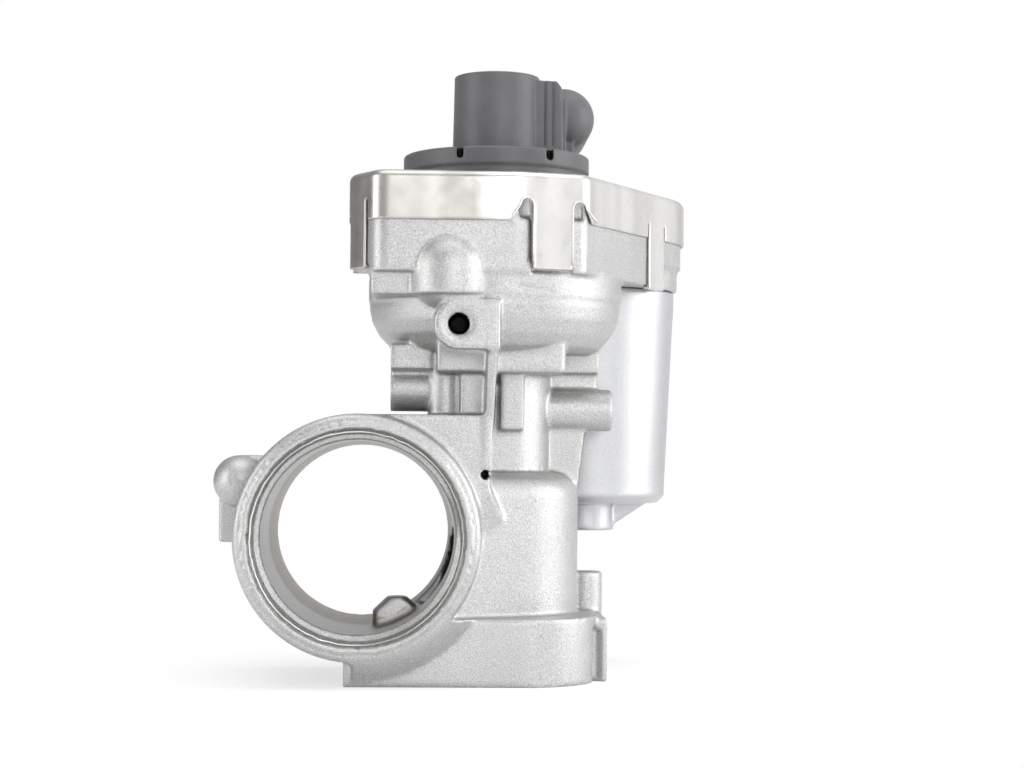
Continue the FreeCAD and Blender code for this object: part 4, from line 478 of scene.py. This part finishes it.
BLACK_NYLON = moulded("black_nylon", "5c5c5e", "525254", 0.44, 3.0, 0.01)
DISC_SLOTS = ((-13.4, -11.4, -23.6), (14.9, 17.0, -21.8))
SLOT_FRONT, SLOT_LOW, SLOT_HIGH, DISC_EDGE, DISC_TOP = -36.0, 165.0, 170.0, 29.9, 169.0
SIDE_MARGIN, BACK_MARGIN, LOW_MARGIN = 0.15, 0.3, 0.2


def slot_tool(left, right, back):
    """A box tool that cuts a slot between two values of X and as far back as a value of Y."""
    corners = np.array([(left, SLOT_FRONT), (right, SLOT_FRONT), (right, back), (left, back)])
    return skinned("disc_slot", np.stack([np.insert(corners, 2, h, axis=1) for h in (SLOT_LOW, SLOT_HIGH)]))


sensor = softened(
    "sensor_moulding", "sensor_housing", BLACK_NYLON, voxel=0.42, passes=4, share=0.5,
    tools=[slot_tool(*slot) for slot in DISC_SLOTS],
)
# The walls of the disc's slots get the near-black painted shade of the holes.
middle = rows(sensor.data.polygons, "center") / MM
shaded_slot_faces = np.zeros(len(middle), bool)
for left, right, back in DISC_SLOTS:
    between = (middle[:, 0] > left - SIDE_MARGIN) & (middle[:, 0] < right + SIDE_MARGIN)
    shaded_slot_faces |= between & (middle[:, 1] < back + BACK_MARGIN)
shaded_slot_faces &= (middle[:, 2] > SLOT_LOW - LOW_MARGIN) & (middle[:, 2] < DISC_TOP)
finish_faces(sensor, shaded_slot_faces & (np.hypot(middle[:, 0], middle[:, 1]) < DISC_EDGE), PAINTED_HOLE_SHADE)
dress(BLACK_NYLON, "sensor_housing", "brush_holder")


# Sensor electronics
# A coil of enamelled copper wire on a glass-fibre board under green lacquer, tinned brass pins in the
# connector, and a plain nylon carrier that the stem moves in the coil.
def worked_metal(name, light, dark, rough, lines):
    """Drawn, ground or turned metal: faint lines along the work so deep in millimetres, and smears."""
    material, tree, shader, where = blank(name)
    stretched = add(tree, "Mapping", None, Vector=where, Scale=(0.35, 0.35, 9.0))
    streaks = add(tree, "TexNoise", None, Vector=stretched, Scale=1.2, Detail=3.0, Roughness=0.6)
    smears = add(tree, "TexNoise", None, Vector=where, Scale=0.12, Detail=4.0, Roughness=0.6)
    dulled = add(tree, "MapRange", None, Value=smears, From_Min=0.35, From_Max=0.7)
    tone = add(tree, "Mix", IN_COLOUR, i0=dulled, i6=linear(light), i7=linear(dark)).outputs[2]
    sheen = {"From_Min": 0.3, "From_Max": 0.75, "To_Min": rough - 0.05, "To_Max": rough + 0.12}
    gloss = add(tree, "MapRange", None, Value=smears, **sheen)
    lined = add(tree, "Bump", None, Height=streaks, Distance=lines * MM, Strength=0.6)
    link(tree, shader, Metallic=1.0, Base_Color=tone, Roughness=gloss, Normal=lined)
    return material


dress(worked_metal("tinned_brass", "d6cfb4", "b9ae8a", 0.25, 0.001), "connector_pins")
dress(moulded("board_green", "1f6b3c", "175431", 0.4, 1.2, 0.01, coat=0.3), "sensor_board")
COPPER = worked_metal("copper", "c97b4a", "9a5630", 0.32, 0.02)
dress(COPPER, "sensor_coil", "motor_windings", "motor_commutator")


# Seals
# Moulded rubber, matt and near black: a flat one under the cover, a ring under the sensor, and a ring
# that is pressed in round the stem.
GASKET_RUBBER = moulded("gasket_rubber", "222223", "1a1a1b", 0.62, 2.0, 0.02)
dress(GASKET_RUBBER, "cover_gasket", "sensor_seal", "stem_seal")


# Motor
# A drawn steel case and end plate round two pressed ferrite magnets, a stack of core sheets and carbon
# brushes. Its screws and the can's are zinc-plated, like the clip and the spring's retainer.
ZINC_STEEL = worked_metal("zinc_steel", "c9c9c4", "aaa9a2", 0.32, 0.002)
dress(worked_metal("motor_steel", "bcbcbc", "a2a2a4", 0.3, 0.003), "motor_case", "motor_end_plate")
dress(moulded("ferrite", "3a3a3d", "2d2d30", 0.55, 1.5, 0.02), "motor_magnets")
dress(worked_metal("core_steel", "77777a", "5c5c60", 0.42, 0.02), "motor_armature")
dress(moulded("carbon", "2b2b2c", "202021", 0.5, 2.0, 0.02), "motor_brushes")
dress(ZINC_STEEL, "motor_screws", "can_screws", "gear_clip", "spring_retainer")


# Gears and cam
# Moulded nylon wheels, plain for the idler and brown for the output gear with its cam. The pinion and
# the bushes are sintered bronze, and the axle, shaft, sleeve, pin and stem are ground steel.
NYLON_WHITE = moulded("nylon_white", "e2dccb", "d5cdb8", 0.4, 3.0, 0.008)
GROUND_STEEL = worked_metal("ground_steel", "cfcfd1", "b3b3b6", 0.18, 0.002)
BRONZE = worked_metal("bronze", "b98a4e", "946b39", 0.4, 0.003)
dress(NYLON_WHITE, "idler_gear", "sensor_plunger")
dress(moulded("nylon_gear", "a8946a", "94815a", 0.45, 3.0, 0.01), "output_gear")
dress(GROUND_STEEL, "idler_axle", "motor_shaft", "guide_sleeve", "drive_pin", "valve_stem")
dress(BRONZE, "motor_pinion", "motor_bushes", "gear_bush", "stem_guide")


# Valve and spring
# Heat-resisting steel for the poppet and its pressed-in seat, turned and browned by heat, and
# oil-hardened wire for the coiled spring.
dress(worked_metal("valve_steel", "a09c95", "7c7872", 0.36, 0.004), "valve_head", "valve_seat")
dress(worked_metal("spring_steel", "8f8f93", "6f6f74", 0.3, 0.002), "return_spring")


# Floor
# Matt white paper. The camera sees it shine by itself, fully from 200 mm away, so that it stays white
# behind the object but keeps a soft shadow under it.
PAPER, FLOOR_LIT = ("ffffff", "fbfbfb"), {"From_Min": 70.0, "From_Max": 200.0, "To_Min": 0.6, "To_Max": 1.0}
paper, tree, shader, where = blank("stage_paper")
fibre = add(tree, "TexNoise", None, Vector=where, Scale=0.6, Detail=3.0, Roughness=0.6)
fibres = add(tree, "MapRange", None, Value=fibre, From_Min=0.3, From_Max=0.7)
tone = add(tree, "Mix", IN_COLOUR, i0=fibres, i6=linear(PAPER[0]), i7=linear(PAPER[1])).outputs[2]
link(tree, shader, Base_Color=tone, Roughness=0.9)
distance = add(tree, "VectorMath", {"operation": "LENGTH"}, i0=where).outputs["Value"]
far = add(tree, "MapRange", None, Value=distance, **FLOOR_LIT)
seen = add(tree, "LightPath").outputs["Is Camera Ray"]
share = add(tree, "Math", {"operation": "MULTIPLY"}, i0=far, i1=seen)
glow = add(tree, "Emission", None, Color=(1, 1, 1, 1), Strength=1.0)
both = add(tree, "MixShader", None, i0=share, i1=shader, i2=glow)
link(tree, next(n for n in tree.nodes if n.type == "OUTPUT_MATERIAL"), Surface=both)

floor_mesh = bpy.data.meshes.new("floor")
floor_mesh.from_pydata([(-6, -3, 0), (6, -3, 0), (6, 9, 0), (-6, 9, 0)], [], [(0, 1, 2, 3)])
floor_mesh.materials.append(paper)
floor = bpy.data.objects.new("floor", floor_mesh)
bpy.context.collection.objects.link(floor)


# Room and lamps
# A white room to the camera. It lights the object evenly, but less from the left, and four large soft
# lamps add to it from above, from both sides and from the front.
ROOM_LIT = {"From_Min": -0.8, "From_Max": 0.6, "To_Min": 0.35, "To_Max": 1.0}
world = bpy.data.worlds.new("room")
bpy.context.scene.world = world
world.use_nodes = True
tree = world.node_tree
tree.nodes.clear()
seen = add(tree, "LightPath").outputs["Is Camera Ray"]
sideways = add(tree, "SeparateXYZ", None, i0=add(tree, "TexCoord").outputs["Generated"])
sky = add(tree, "MapRange", None, Value=sideways, **ROOM_LIT)
room = add(tree, "Background", None, Color=(0.98, 0.99, 1.0, 1), Strength=sky)
white = add(tree, "Background", None, Color=(1, 1, 1, 1), Strength=1.0)
add(tree, "OutputWorld", None, Surface=add(tree, "MixShader", None, i0=seen, i1=room, i2=white))


def lamp(name, at, towards, width, height, power):
    """A rectangular soft lamp aimed at a point, its sizes in metres and its power in watts."""
    light = bpy.data.lights.new(name, "AREA")
    light.shape = "RECTANGLE"
    light.size, light.size_y, light.energy = width, height, power
    made = bpy.data.objects.new(name, light)
    bpy.context.collection.objects.link(made)
    made.location = at
    made.rotation_euler = (Vector(towards) - Vector(at)).to_track_quat("-Z", "Y").to_euler()


lamp("lamp_above", (0.0, -0.1, 0.9), (0, 0, 0.1), 0.9, 0.7, 3.2)
lamp("lamp_left", (-0.85, -0.30, 0.25), (0, 0, 0.09), 0.45, 0.8, 3.4)
lamp("lamp_right", (0.85, -0.15, 0.25), (0, 0, 0.09), 0.6, 0.9, 4.8)
lamp("lamp_front", (0.35, -1.6, 0.55), (0, 0, 0.09), 0.8, 0.8, 6.0)


# Camera
# The photograph is taken from far off, level with the valve's middle and square to the pipe's mouth,
# leaning by half a degree. The long lens keeps the perspective weak.
CAMERA_AT = Vector((-0.02407, -0.685, 0.073))
CAMERA_TOWARDS = Vector((0.04352, 1.0, 0.03181))
CAMERA_LEAN = math.radians(0.5)
lens = bpy.data.cameras.new("camera")
lens.sensor_width, lens.lens, lens.clip_start = 36.0, 73.83, 0.05
camera = bpy.data.objects.new("camera", lens)
bpy.context.collection.objects.link(camera)
ahead = CAMERA_TOWARDS.normalized()
level = ahead.cross(Vector((0, 0, 1))).normalized()
upright = level.cross(ahead)
right = level * math.cos(CAMERA_LEAN) + upright * math.sin(CAMERA_LEAN)
up = upright * math.cos(CAMERA_LEAN) - level * math.sin(CAMERA_LEAN)
camera.matrix_world = Matrix.Translation(CAMERA_AT) @ Matrix((right, up, -ahead)).transposed().to_4x4()
bpy.context.scene.camera = camera
bpy.context.scene.view_settings.view_transform = "Standard"
